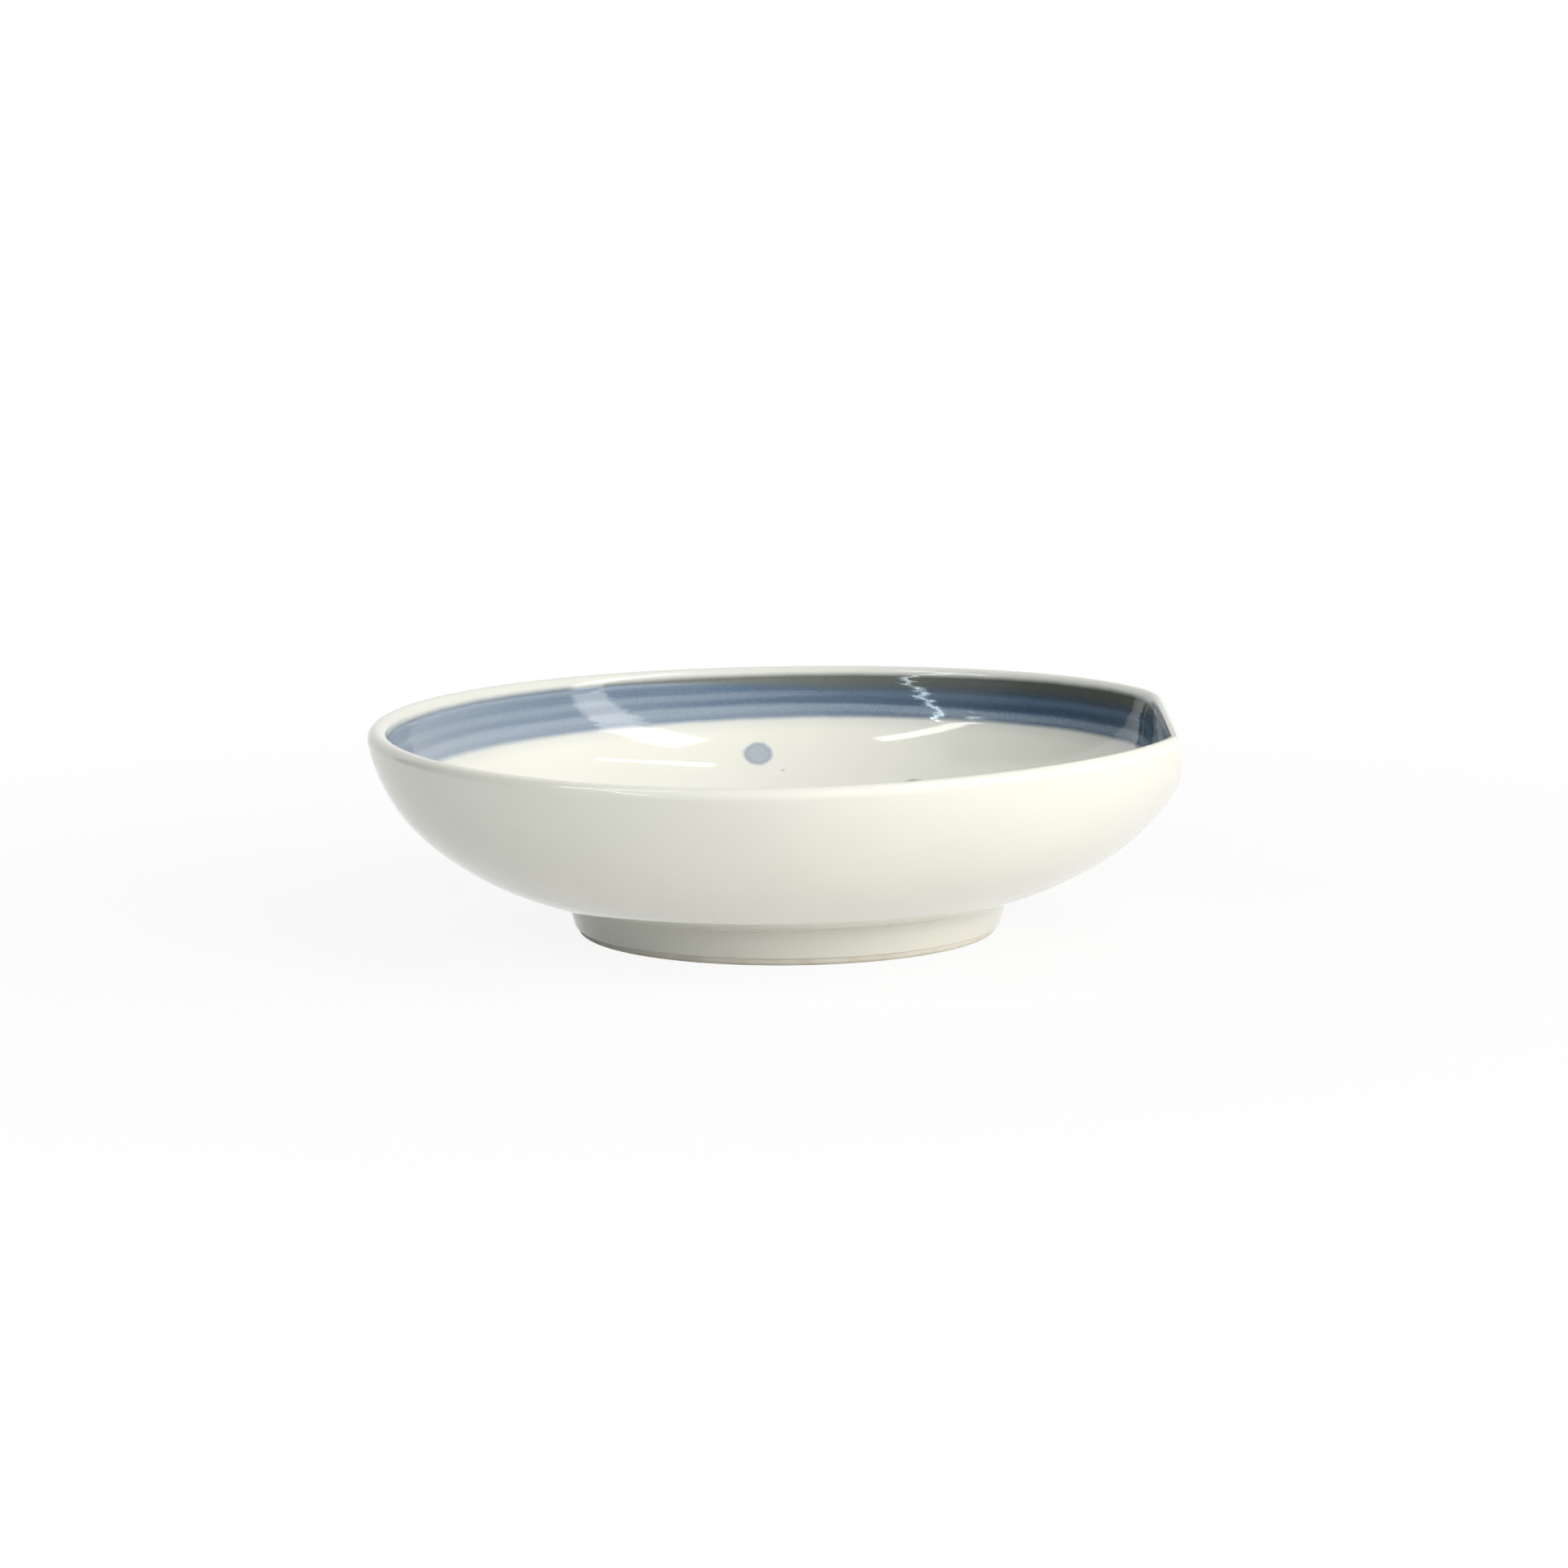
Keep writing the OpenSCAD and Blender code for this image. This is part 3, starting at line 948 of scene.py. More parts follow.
class Brushwork:
    """Masks from 0 to 1 and colours of the painting, made as nodes. Lengths are in millimetres.

    A ramp holds the two values between which a mask goes smoothly from 0 to 1, and after them
    the two that it goes from and to where those are others. A noise holds a scale, a detail and
    a roughness. A waver holds its full width and then a noise. A shade, and what makes the wash
    or the iron paler, holds a factor and what is added.
    """

    # Directions round the dish, turned from +X toward the back
    HEAVY_TURN = math.radians(28)
    PRESSED_TURN = math.radians(-12)
    BURNT_TURN = math.radians(-32)

    # Ramps over which way a surface looks: 1 is straight outward and -1 straight inward
    INSIDE = (-0.02, -0.3)
    STEEP = (-0.45, -0.75)
    INNER_SLOPE = (-0.68, -0.88)
    RIM_OUTER = (0.16, 0.0)
    RIM_INNER = (-0.4, -0.15)

    # Edges of the band: level, tilt toward the pressed side and bow. The upper edge rises toward
    # the pressed side and dips on it
    TOP_EDGE = (24.6, 0.5, 0.3)
    LOW_EDGE = (19.34, 0.85, 0.12)
    TOP_RISE = (0.35, 0.75, 0.0, 0.22)
    PRESSED_DIP = -0.4
    DRIFT = (0.24, 1.6, 3)
    RAGGED = (0.12, 0.5, 2)
    PRESSED = (0.79, 0.87)

    # Ramps over the way down the band: 0 is its top edge and 1 its lower edge
    TOP_FADE = (-0.1, 0.06)
    LOW_FADE = (1.085, 0.94)
    HALO_TOP = (-0.3, -0.04, 0.0, 0.26)
    HALO_LOW = (1.35, 1.0)
    FILM_LOW = (1.0, 0.9)
    CREASE_TOP = (-0.16, -0.03)
    CREASE_LOW = (0.9, 0.5)
    GRAINS_TOP = (-0.1, 0.0)
    GRAINS_LOW = (0.16, 0.06)
    IRON_LOW = (1.5, 0.35)

    # The fold's lean and place, its waver, ramps over the distance from it, and how much paler the
    # wash and iron are painted past it, partly thinner paint and partly a painted reflection
    FOLD_LINE = (2.6, -52.8)
    FOLD_WAVER = (3.0, 1.2, 3, 0.6)
    PAST_FOLD = (1.0, -2.0)
    IN_FOLD = (2.6, 0.9)
    GRAINS_PAST_FOLD = (-3.0, 0.0, 0.0, 0.8)
    PALE_WASH_AND_PAINTED_REFLECTION = (-0.75, 1.0)
    PALE_IRON_AND_PAINTED_REFLECTION = (-0.8, 1.0)

    # The wash: how the streaks are drawn out, their wavers and how much each darkens it
    SLOW_STRETCH = (0.035, 0.035, 0.9)
    HAIR_STRETCH = (0.06, 0.06, 4.5)
    LINES = (1.1, 1.0, 2)
    HAIRS = (1.2, 1.0, 3, 0.6)
    GRAIN = (0.8, 2.6, 3, 0.65)
    LINES_SHARE = 0.3
    HAIRS_SHARE = 0.25
    GRAIN_SHARE = 0.45
    SHIFT = (0.1, 2.2, 2)
    NARROWER = (0.8, 0.93, 1.0, 0.9)

    # The iron line: ramps over how heavy the wash is, its least width and its shade
    IRON_WIDTH = (0.5, 0.85, 0.05, 0.33)
    IRON_STRENGTH = (0.35, 0.6, 0.3, 1.0)
    PRESSED_IRON = -0.2
    LEAST_IRON = 0.04
    SPECKLE = (1.9, 3, 0.7)
    SPECKLED = (0.3, 0.65, 0.72, 1.0)
    IRON_SHADE = (-0.9, 1.35)
    IRON_GRAIN = 0.35
    GRIT = (1.6, 3, 0.7)
    GRITTY = (0.4, 0.56, 0.25, 1.0)

    # The clear glaze, and the film and the burnt line on the rim
    CLOUD = (0.06, 2)
    CLOUD_SHADE = (0.08, 0.96)
    PATCHES = (1.1, 3, 0.6)
    PATCHY = (0.25, 0.7, 0.5, 0.9)
    BURNT = (0.3, 0.17, 0.085, 1)
    BURNT_REACH = (0.88, 0.985)
    BURNT_HEIGHT = (24.4, 25.2)

    # The dots: ramps in shares of a dot's radius, and how blue a dot is in its middle and rim
    DOT_EDGE = (1.16, 0.8)
    DOT_RIM = (0.45, 0.85)
    DOT_WAVER = (0.5, 0.6, 2)
    MOTTLE = (1.3, 3, 0.6)
    MOTTLE_SHADE = (0.24, 0.74)
    RIM_SHADE = 0.13

    # The specks: how close and large the small ones are, and how crumbled the larger marks
    SPECK_SCALE = 0.11
    SPECK_SIZE = (0.02, 0.01)
    SPECK_PICK = 0.72
    SPECK_SHADE = 0.4
    CRUMB = (1.2, 2.2, 2)
    MARK_CORE = 0.3

    def __init__(self, board, given):
        self.board = board
        self.given = given
        place = board.group("Place on the dish", {"Point": given["Point"]})
        self.around = place["Around"]
        self.cosine = place["Cosine"]
        self.sine = place["Sine"]
        self.height = place["Height"]
        self.point = place["Point mm"]
        self.outward = board.measure("DOT_PRODUCT", given["Normal"], self.around)
        self.inside = board.step(self.outward, *self.INSIDE)
        self.pressed = board.step(self.toward(self.PRESSED_TURN), *self.PRESSED)
        self.heavy = board.scaled(self.toward(self.HEAVY_TURN), 0.5, 0.5)
        self.depth = board.curve(self.heavy, TURN_STOPS)
        self.place_band()
        self.place_fold()
        self.draw_streaks()

    def toward(self, turn):
        """How far a point lies toward a direction round the dish: 1 there and -1 opposite."""
        board = self.board
        return board.total(board.product(self.cosine, math.cos(turn)),
                           board.product(self.sine, math.sin(turn)))

    def edge(self, level, tilt, bow):
        """Height of one edge of the band round the dish."""
        board = self.board
        square = board.product(self.cosine, self.cosine)
        return board.scaled(self.cosine, tilt, board.scaled(square, bow, level))

    def place_band(self):
        """The band, whose edges follow the rim's tilt and the brush's slow drift."""
        board = self.board
        ragged = board.waver(self.point, *self.RAGGED)
        top = board.total(
            self.edge(*self.TOP_EDGE), board.step(self.cosine, *self.TOP_RISE),
            board.scaled(self.pressed, self.PRESSED_DIP), ragged)
        low = board.total(self.edge(*self.LOW_EDGE), board.waver(self.around, *self.DRIFT), ragged)
        self.down = board.math("DIVIDE", board.math("SUBTRACT", top, self.height),
                               board.math("SUBTRACT", top, low))
        self.band = board.product(board.step(self.down, *self.TOP_FADE),
                                  board.step(self.down, *self.LOW_FADE), self.inside)

    def place_fold(self):
        """A slanting fold near the back of the pressed side, past which the paler wash is partly a
        painted reflection.
        """
        board = self.board
        across = board.node("ShaderNodeSeparateXYZ", {0: self.point}).outputs["Y"]
        fold = board.math("SUBTRACT", across, board.scaled(self.height, *self.FOLD_LINE))
        self.fold = board.total(fold, board.waver(self.point, *self.FOLD_WAVER))
        self.wall = board.product(self.pressed, board.step(self.outward, *self.STEEP))
        # Past the fold the wash and iron are painted paler: partly thinner paint, partly a painted
        # reflection of light mirrored there
        self.pale = board.product(self.wall, board.step(self.fold, *self.PAST_FOLD))

    def draw_streaks(self):
        """Slow lines, fine hairs and grain of the brush, which swing round 0."""
        board = self.board
        slow = board.vector("MULTIPLY", self.point, self.SLOW_STRETCH)
        hair = board.vector("MULTIPLY", self.point, self.HAIR_STRETCH)
        self.lines = board.waver(slow, *self.LINES)
        self.hairs = board.waver(hair, *self.HAIRS)
        self.grain = board.waver(self.point, *self.GRAIN)

    def wash(self):
        """Blue of the wash, which is thickest at the back right and thinnest at the left."""
        board, given = self.board, self.given
        moved = board.total(board.product(self.down, board.step(self.heavy, *self.NARROWER)),
                            board.waver(self.around, *self.SHIFT))
        uneven = board.total(board.product(self.lines, self.LINES_SHARE),
                             board.product(self.hairs, self.HAIRS_SHARE),
                             board.product(self.grain, self.GRAIN_SHARE))
        # The paler wash past the fold is partly a painted reflection
        wash = board.product(board.total(board.curve(moved, WASH_STOPS), uneven), self.depth,
                             board.scaled(self.pale, *self.PALE_WASH_AND_PAINTED_REFLECTION))
        thin, thick = board.scaled(wash, 2, clamp=True), board.scaled(wash, 2, -1, clamp=True)
        blue = board.mix(thin, given["Thin blue"], given["Middle blue"])
        return board.mix(thick, blue, given["Deep blue"])

    def iron_line(self, blue):
        """Iron brown along the top edge, wider where the wash is thick and faint past the fold."""
        board = self.board
        wide = board.total(board.step(self.heavy, *self.IRON_WIDTH),
                           board.scaled(self.pressed, self.PRESSED_IRON))
        wide = board.math("MAXIMUM", wide, self.LEAST_IRON)
        iron = board.product(
            board.step(board.math("DIVIDE", self.down, wide), *self.IRON_LOW),
            board.step(self.heavy, *self.IRON_STRENGTH),
            board.scaled(self.pale, *self.PALE_IRON_AND_PAINTED_REFLECTION),
            board.step(board.noise(self.point, *self.SPECKLE), *self.SPECKLED))
        shade = board.total(board.scaled(self.depth, *self.IRON_SHADE),
                            board.scaled(self.grain, self.IRON_GRAIN))
        return board.mix(iron, blue, board.shaded(self.given["Brown"], shade))

    def dark_grains(self):
        """Where the iron gathered in dark grains, in the fold and along the edge past it."""
        board = self.board
        crease = board.product(board.step(board.math("ABSOLUTE", self.fold), *self.IN_FOLD),
                               board.step(self.down, *self.CREASE_LOW),
                               board.step(self.down, *self.CREASE_TOP))
        grains = board.product(board.step(self.down, *self.GRAINS_TOP),
                               board.step(self.down, *self.GRAINS_LOW),
                               board.step(self.fold, *self.GRAINS_PAST_FOLD))
        grit = board.step(board.noise(self.point, *self.GRIT), *self.GRITTY)
        return board.product(board.math("MAXIMUM", crease, grains), self.wall, grit)

    def clear_glaze(self):
        """Glaze over the clay, slightly bluish right above and right under the band."""
        board, given = self.board, self.given
        halo = board.product(board.step(self.down, *self.HALO_TOP),
                             board.step(self.down, *self.HALO_LOW), self.inside)
        white = board.mix(halo, given["White"], given["Thin blue"])
        cloud = board.noise(self.point, *self.CLOUD)
        return board.shaded(white, board.scaled(cloud, *self.CLOUD_SHADE))

    def rim_marks(self, white):
        """A thin film of wash inside the pressed rim, and a fine burnt line at its front."""
        board = self.board
        patchy = board.step(board.noise(self.point, *self.PATCHES), *self.PATCHY)
        film = board.product(self.pressed, board.step(self.down, *self.FILM_LOW),
                             board.step(self.outward, *self.INNER_SLOPE), patchy)
        burnt = board.product(board.step(self.toward(self.BURNT_TURN), *self.BURNT_REACH),
                              board.step(self.outward, *self.RIM_OUTER),
                              board.step(self.outward, *self.RIM_INNER),
                              board.step(self.height, *self.BURNT_HEIGHT), patchy)
        return board.mix(burnt, board.mix(film, white, self.given["Thin blue"]), self.BURNT)

    def dots(self, white, size):
        """Dots with a slightly darker rim and a soft edge."""
        board = self.board
        gap = board.total(board.group("Nearest dot", {"Point mm": self.point})["Distance"],
                          board.waver(self.point, *self.DOT_WAVER))
        dot = board.step(gap, *(size * reach for reach in self.DOT_EDGE))
        rim = board.step(gap, *(size * reach for reach in self.DOT_RIM))
        mottle = board.scaled(board.noise(self.point, *self.MOTTLE), *self.MOTTLE_SHADE)
        shade = board.scaled(rim, self.RIM_SHADE, mottle)
        return board.mix(board.math("MULTIPLY", dot, shade, clamp=True), white,
                         self.given["Dot blue"])

    def specks(self, white):
        """A few tiny iron specks burnt into the glaze, and three larger marks."""
        board = self.board
        cells = board.node("ShaderNodeTexVoronoi", {
            "Vector": self.point, "Scale": self.SPECK_SCALE, "Randomness": 1}).outputs
        pick = board.node("ShaderNodeSeparateColor", {0: cells["Color"]}).outputs["Red"]
        speck = board.product(board.step(cells["Distance"], *self.SPECK_SIZE),
                              board.math("GREATER_THAN", pick, self.SPECK_PICK))
        crumb = board.waver(self.point, *self.CRUMB)
        for *spot, radius in MARKS:
            off = board.total(board.measure("DISTANCE", self.point, tuple(spot)),
                              board.product(crumb, 2 * radius))
            speck = board.math("MAXIMUM", speck, board.step(off, radius, radius * self.MARK_CORE))
        return board.mix(board.scaled(speck, self.SPECK_SHADE), white, self.given["Brown"])


def brushwork_group(dish):
    """Colour of the glaze and the painting under it, and how raised the brush strokes are."""
    board, given, result = new_group(
        "Brushwork",
        [("Point", "vector"), ("Normal", "vector"), ("White", "colour"), ("Thin blue", "colour"),
         ("Middle blue", "colour"), ("Deep blue", "colour"), ("Brown", "colour"),
         ("Dot blue", "colour")],
        [("Color", "colour"), ("Strokes", "value"), ("Paint", "value")])
    brush = Brushwork(board, given)
    white = brush.rim_marks(brush.clear_glaze())
    white = brush.specks(brush.dots(white, dish.painting.dot_radius / MM))
    painted = board.mix(brush.band, white, brush.iron_line(brush.wash()))
    dark = board.mix(1.0, given["Brown"], given["Brown"], "MULTIPLY")
    board.feed(result["Color"], board.mix(brush.dark_grains(), painted, dark))
    strokes = board.total(brush.lines, brush.hairs)
    board.feed(result["Strokes"], board.product(strokes, brush.band))
    board.feed(result["Paint"], brush.band)


class Finish:
    """How rough and how raised the fired surfaces are. Heights are in metres.

    A noise holds a scale per millimetre, a detail and a roughness. A shade, and how dull a
    surface is, holds a factor and what is added. A ramp is as in Brushwork.
    """

    # The glaze: its slow swell, its fine peel, the brush's marks in the paint, and its gloss
    SWELL = (0.22, 2)
    SWELL_HEIGHT = 7e-6
    PEEL = (1.3, 3, 0.55)
    PEEL_HEIGHT = 1.2e-6
    BRUSH_STRETCH = (0.35, 0.35, 2.2)
    BRUSH = (1.0, 3, 0.6)
    BRUSH_HEIGHT = 0.8e-5
    RIDGE_STRETCH = (0.16, 0.16, 0.95)
    RIDGE = (1.0, 2)
    RIDGE_HEIGHT = 6e-5
    STROKE_HEIGHT = 4e-6
    UNEVEN = (0.5, 2)
    GLAZE_DULL = (0.03, 0.045)
    PAINT_DULL = 0.01
    GLAZE_IOR = 1.45

    # The bare clay: its grain, and where it is toasted, in patches and toward the table
    SCORCH = (0.5, 0.37, 0.25, 1)
    CLAY_GRAIN = (5.0, 4, 0.65)
    CLAY_SHADE = (0.22, 0.89)
    CLAY_HEIGHT = 2.5e-5
    CLAY_DULL = (0.2, 0.6)
    TOAST = (0.35, 3, 0.6)
    TOASTED = (0.42, 0.7, 0.0, 0.25)
    TOAST_LOW = (0.5, 0.1, 0.0, 0.12)


def glaze_group():
    """Relief of the fired glaze in metres, and its slightly uneven gloss."""
    board, given, result = new_group(
        "Fired glaze",
        [("Point", "vector"), ("Strokes", "value"), ("Paint", "value"), ("Ripple", "value")],
        [("Relief", "value"), ("Roughness", "value")])
    point = board.vector("MULTIPLY", given["Point"], TO_MM)
    relief = board.total(
        board.scaled(board.noise(point, *Finish.SWELL), Finish.SWELL_HEIGHT),
        board.product(board.noise(point, *Finish.PEEL), given["Ripple"]))
    brush = board.noise(board.vector("MULTIPLY", point, Finish.BRUSH_STRETCH), *Finish.BRUSH)
    ridge = board.noise(board.vector("MULTIPLY", point, Finish.RIDGE_STRETCH), *Finish.RIDGE)
    raised = board.total(board.scaled(brush, Finish.BRUSH_HEIGHT),
                         board.scaled(ridge, Finish.RIDGE_HEIGHT))
    raised = board.scaled(given["Strokes"], Finish.STROKE_HEIGHT, raised)
    board.feed(result["Relief"], board.total(relief, board.product(raised, given["Paint"])))
    dull = board.scaled(board.noise(point, *Finish.UNEVEN), *Finish.GLAZE_DULL)
    board.feed(result["Roughness"], board.scaled(given["Paint"], Finish.PAINT_DULL, dull))


def clay_group():
    """Colour, relief and roughness of bare fired porcelain."""
    board, given, result = new_group(
        "Bare clay", [("Point", "vector"), ("Clay", "colour"), ("Scorch", "colour")],
        [("Color", "colour"), ("Relief", "value"), ("Roughness", "value")])
    point = board.vector("MULTIPLY", given["Point"], TO_MM)
    grain = board.noise(point, *Finish.CLAY_GRAIN)
    height = board.node("ShaderNodeSeparateXYZ", {0: point}).outputs["Z"]
    toast = board.total(board.step(board.noise(point, *Finish.TOAST), *Finish.TOASTED),
                        board.step(height, *Finish.TOAST_LOW))
    tone = board.mix(toast, given["Clay"], given["Scorch"])
    board.feed(result["Color"], board.shaded(tone, board.scaled(grain, *Finish.CLAY_SHADE)))
    board.feed(result["Relief"], board.scaled(grain, Finish.CLAY_HEIGHT))
    board.feed(result["Roughness"], board.scaled(grain, *Finish.CLAY_DULL))


def make_groups(dish):
    """The shared node groups, made once."""
    if "Brushwork" in bpy.data.node_groups:
        return
    place_group()
    dots_group(dish)
    brushwork_group(dish)
    glaze_group()
    clay_group()


def new_material(name, looks):
    """A material with a Principled shader and the board for its nodes."""
    made = bpy.data.materials.new(name)
    made.use_nodes = True
    made.diffuse_color = looks
    board = Board(made.node_tree)
    shader = made.node_tree.nodes["Principled BSDF"]
    point = board.node("ShaderNodeTexCoord").outputs["Object"]
    return made, board, shader, point


def finish_material(board, shader, base, finish):
    """Feeds a surface's colour, roughness and relief to its shader."""
    bump = board.node("ShaderNodeBump", {"Height": finish["Relief"], "Distance": 1.0})
    board.feed(shader.inputs["Base Color"], base)
    board.feed(shader.inputs["Roughness"], finish["Roughness"])
    board.feed(shader.inputs["Normal"], bump.outputs[0])


def glaze_material(name, dish, looks):
    """Glossy glaze over porcelain, with whatever is painted under it at each point."""
    painting = dish.painting
    made, board, shader, point = new_material(name, looks)
    brush = board.group("Brushwork", {
        "Point": point, "Normal": board.node("ShaderNodeNewGeometry").outputs["Normal"],
        "White": painting.white[:], "Thin blue": painting.thin_blue[:],
        "Middle blue": painting.mid_blue[:], "Deep blue": painting.deep_blue[:],
        "Brown": painting.brown[:], "Dot blue": painting.dot_blue[:]})
    finish = board.group("Fired glaze", {
        "Point": point, "Strokes": brush["Strokes"], "Paint": brush["Paint"],
        "Ripple": Finish.PEEL_HEIGHT})
    finish_material(board, shader, brush["Color"], finish)
    shader.inputs["IOR"].default_value = Finish.GLAZE_IOR
    return made


def clay_material(name, dish):
    """Bare fired porcelain, a little toasted in patches."""
    clay = dish.painting.clay[:]
    made, board, shader, point = new_material(name, clay)
    bare = board.group("Bare clay", {"Point": point, "Clay": clay, "Scorch": Finish.SCORCH})
    finish_material(board, shader, bare["Color"], bare)
    return made


def direction(azimuth, elevation):
    """Unit vector to a lamp. Azimuth 0 is toward the camera and grows to the right."""
    return Vector((math.sin(azimuth) * math.cos(elevation),
                   -math.cos(azimuth) * math.cos(elevation), math.sin(elevation)))


def strip_lamp(name, brightness, start, end, wide, tint, reach=1.0):
    """A flat lamp that runs, as seen from the dish, from one direction to another.

    Directions and the width that it takes up are in degrees.
    """
    first, last = (direction(*map(math.radians, way)) for way in (start, end))
    toward = (first + last).normalized()
    along = (last - first).normalized()
    across = along.cross(toward).normalized()
    data = bpy.data.lights.new(name, "AREA")
    data.shape = "RECTANGLE"
    data.size = 2 * reach * math.tan(math.radians(wide) / 2)
    data.size_y = 2 * reach * math.tan(first.angle(last) / 2)
    data.energy = brightness * math.pi * data.size * data.size_y
    data.color = tint
    lamp = put(name, data)
    turn = Matrix((across, along, toward)).transposed()
    lamp.matrix_world = Matrix.Translation(toward * reach) @ turn.to_4x4()


def soft_lamp(name, brightness, azimuth, elevation, tint, reach=1.0):
    """A broad round lamp that lights the dish and isn't mirrored in its glaze."""
    toward = direction(math.radians(azimuth), math.radians(elevation))
    data = bpy.data.lights.new(name, "AREA")
    data.shape = "DISK"
    data.size = reach / 2
    data.energy = brightness * math.pi * math.pi * data.size ** 2 / 4
    data.color = tint
    lamp = put(name, data)
    lamp.matrix_world = Matrix.LocRotScale(toward * reach, toward.to_track_quat("Z", "Y"), None)
    lamp.visible_glossy = False


def make_lamps(stage):
    """Four flat lamps that the glaze mirrors, and five broad ones that it doesn't."""
    strip_lamp("key", stage.key, start=(64, 14), end=(68, 72.5), wide=12, tint=(1, 0.985, 0.95))
    strip_lamp("strip", stage.strip, start=(-76, 42), end=(-68, 71), wide=4.8,
               tint=(1, 0.99, 0.95))
    strip_lamp("back", stage.back, start=(115, 59), end=(143, 75), wide=1.7, tint=(1, 1, 0.98))
    strip_lamp("thread", stage.thread, start=(-35, 14), end=(-66, 49), wide=0.75,
               tint=(0.75, 0.92, 1))
    soft_lamp("soft_right", stage.right, azimuth=80, elevation=20, tint=(1, 0.985, 0.985))
    soft_lamp("soft_corner", stage.corner, azimuth=40, elevation=25, tint=(1, 0.99, 0.985))
    soft_lamp("soft_front", stage.front, azimuth=0, elevation=30, tint=(1, 0.985, 0.97))
    soft_lamp("soft_low", stage.low, azimuth=35, elevation=8, tint=(0.99, 0.975, 0.97))
    soft_lamp("soft_back", stage.behind, azimuth=180, elevation=45, tint=(1, 1, 1))


def seen_or_mirrored(board):
    """1 for what the camera, a mirror or clear glass shows, and 0 for light on the object."""
    path = board.node("ShaderNodeLightPath").outputs
    seen = board.math("ADD", path["Is Camera Ray"], path["Is Glossy Ray"])
    return board.math("ADD", seen, path["Is Transmission Ray"], clamp=True)


def make_room(stage):
    """Soft light from all round, and white wherever the camera sees past the floor."""
    world = bpy.data.worlds.new("Room")
    bpy.context.scene.world = world
    world.use_nodes = True
    board = Board(world.node_tree)
    background = world.node_tree.nodes["Background"]
    background.inputs["Color"].default_value = WHITE
    board.feed(background.inputs["Strength"],
               board.scaled(seen_or_mirrored(board), 1 - stage.fill, stage.fill))


# The floor: half its width, how far it lies under the dish, and how its paleness turns to plain
# white from near the dish to farther off
FLOOR_HALF = 9.0
FLOOR_CELLS = 8
FLOOR_DROP = 0.02 * MM
FLOOR_COLOUR = (0.86, 0.86, 0.85, 1)
FLOOR_WHITE = (0.05, 0.22, 0.9, 1.0)
# The dim board: its distance and height, its turns from the front in degrees, and how far round
# from its first edge it starts and ends to fade
DIM_REACH = 1.5
DIM_RISE = 2.8
DIM_TURNS = range(-131, -49, 3)
DIM_FADE = (38, 78)


def stage_material(name, mesh):
    """A mesh's material without a shader yet: its board, its output and the point on the object."""
    made = bpy.data.materials.new(name)
    made.use_nodes = True
    made.node_tree.nodes.remove(made.node_tree.nodes["Principled BSDF"])
    mesh.materials.append(made)
    board = Board(made.node_tree)
    point = board.node("ShaderNodeTexCoord").outputs["Object"]
    return board, made.node_tree.nodes["Material Output"].inputs["Surface"], point


def glow(board, strength):
    """A plain white glow."""
    return board.node("ShaderNodeEmission", {"Color": WHITE, "Strength": strength}).outputs[0]


def blend(board, factor, first, second):
    """A blend of two shaders."""
    return board.node("ShaderNodeMixShader", {0: factor, 1: first, 2: second}).outputs[0]


def make_floor():
    """A pale floor that stays white far off and keeps a soft shadow near the dish."""
    mesh = bpy.data.meshes.new("floor")
    work = bmesh.new()
    bmesh.ops.create_grid(work, x_segments=FLOOR_CELLS, y_segments=FLOOR_CELLS, size=FLOOR_HALF)
    work.to_mesh(mesh)
    work.free()
    board, surface, point = stage_material("Pale floor", mesh)
    white = board.step(board.measure("LENGTH", point), *FLOOR_WHITE)
    matt = board.node("ShaderNodeBsdfDiffuse", {"Color": FLOOR_COLOUR}).outputs[0]
    share_white = board.product(white, seen_or_mirrored(board))
    board.feed(surface, blend(board, share_white, matt, glow(board, 1.0)))
    floor = put("floor", mesh)
    floor.location.z = -FLOOR_DROP


def make_dim_side(stage):
    """A dim curved board at the left, which shows only in the glaze's reflections."""
    edges = [direction(math.radians(turn), 0) for turn in DIM_TURNS]
    low = [edge * DIM_REACH for edge in edges]
    points = low + [point + Vector((0, 0, DIM_RISE)) for point in low]
    count = len(low)
    mesh = bpy.data.meshes.new("dim_side")
    mesh.from_pydata(points, [], [(n, n + 1, n + 1 + count, n + count) for n in range(count - 1)])
    board, surface, point = stage_material("Dim side", mesh)
    along = board.measure("DOT_PRODUCT", point, edges[0])
    fade = board.step(along, *(DIM_REACH * math.cos(math.radians(turn)) for turn in DIM_FADE))
    clear = board.node("ShaderNodeBsdfTransparent").outputs[0]
    board.feed(surface, blend(board, fade, glow(board, stage.dim), clear))
    panel = put("dim_side", mesh)
    panel.visible_camera = False
    panel.visible_diffuse = False
    panel.visible_shadow = False


# The camera's sensor in millimetres, and the nearest distance that it sees
SENSOR_WIDTH = 36
NEAREST = 0.01


def make_camera(stage):
    """The camera at the photographed angle."""
    data = bpy.data.cameras.new("camera")
    data.lens = stage.lens
    data.sensor_width = SENSOR_WIDTH
    data.clip_start = NEAREST
    camera = put("camera", data)
    aim = Vector((stage.aim_x, 0, stage.aim_z))
    rise = stage.camera_rise
    camera.location = aim + stage.distance * Vector((0, -math.cos(rise), math.sin(rise)))
    look = Matrix.Rotation(math.pi / 2 - rise, 3, "X") @ Matrix.Rotation(stage.camera_roll, 3, "Z")
    camera.rotation_euler = look.to_euler()
    bpy.context.scene.camera = camera


def coat(dish, face, back=None):
    """A layer of glaze, from its face down to the clay. Its back may have fewer runs."""
    return shell(dish, (face, 0.0, True), (back or face, dish.shape.glaze, False))


class DishOperator:
    """What the steps that make the dish and its stage share."""

    bl_options = {"REGISTER", "UNDO"}

    def dish(self, context):
        """The dish in its present sizes, with the shared node groups ready."""
        made = Dish(context.scene.dish_shape, context.scene.dish_painting)
        make_groups(made)
        return made


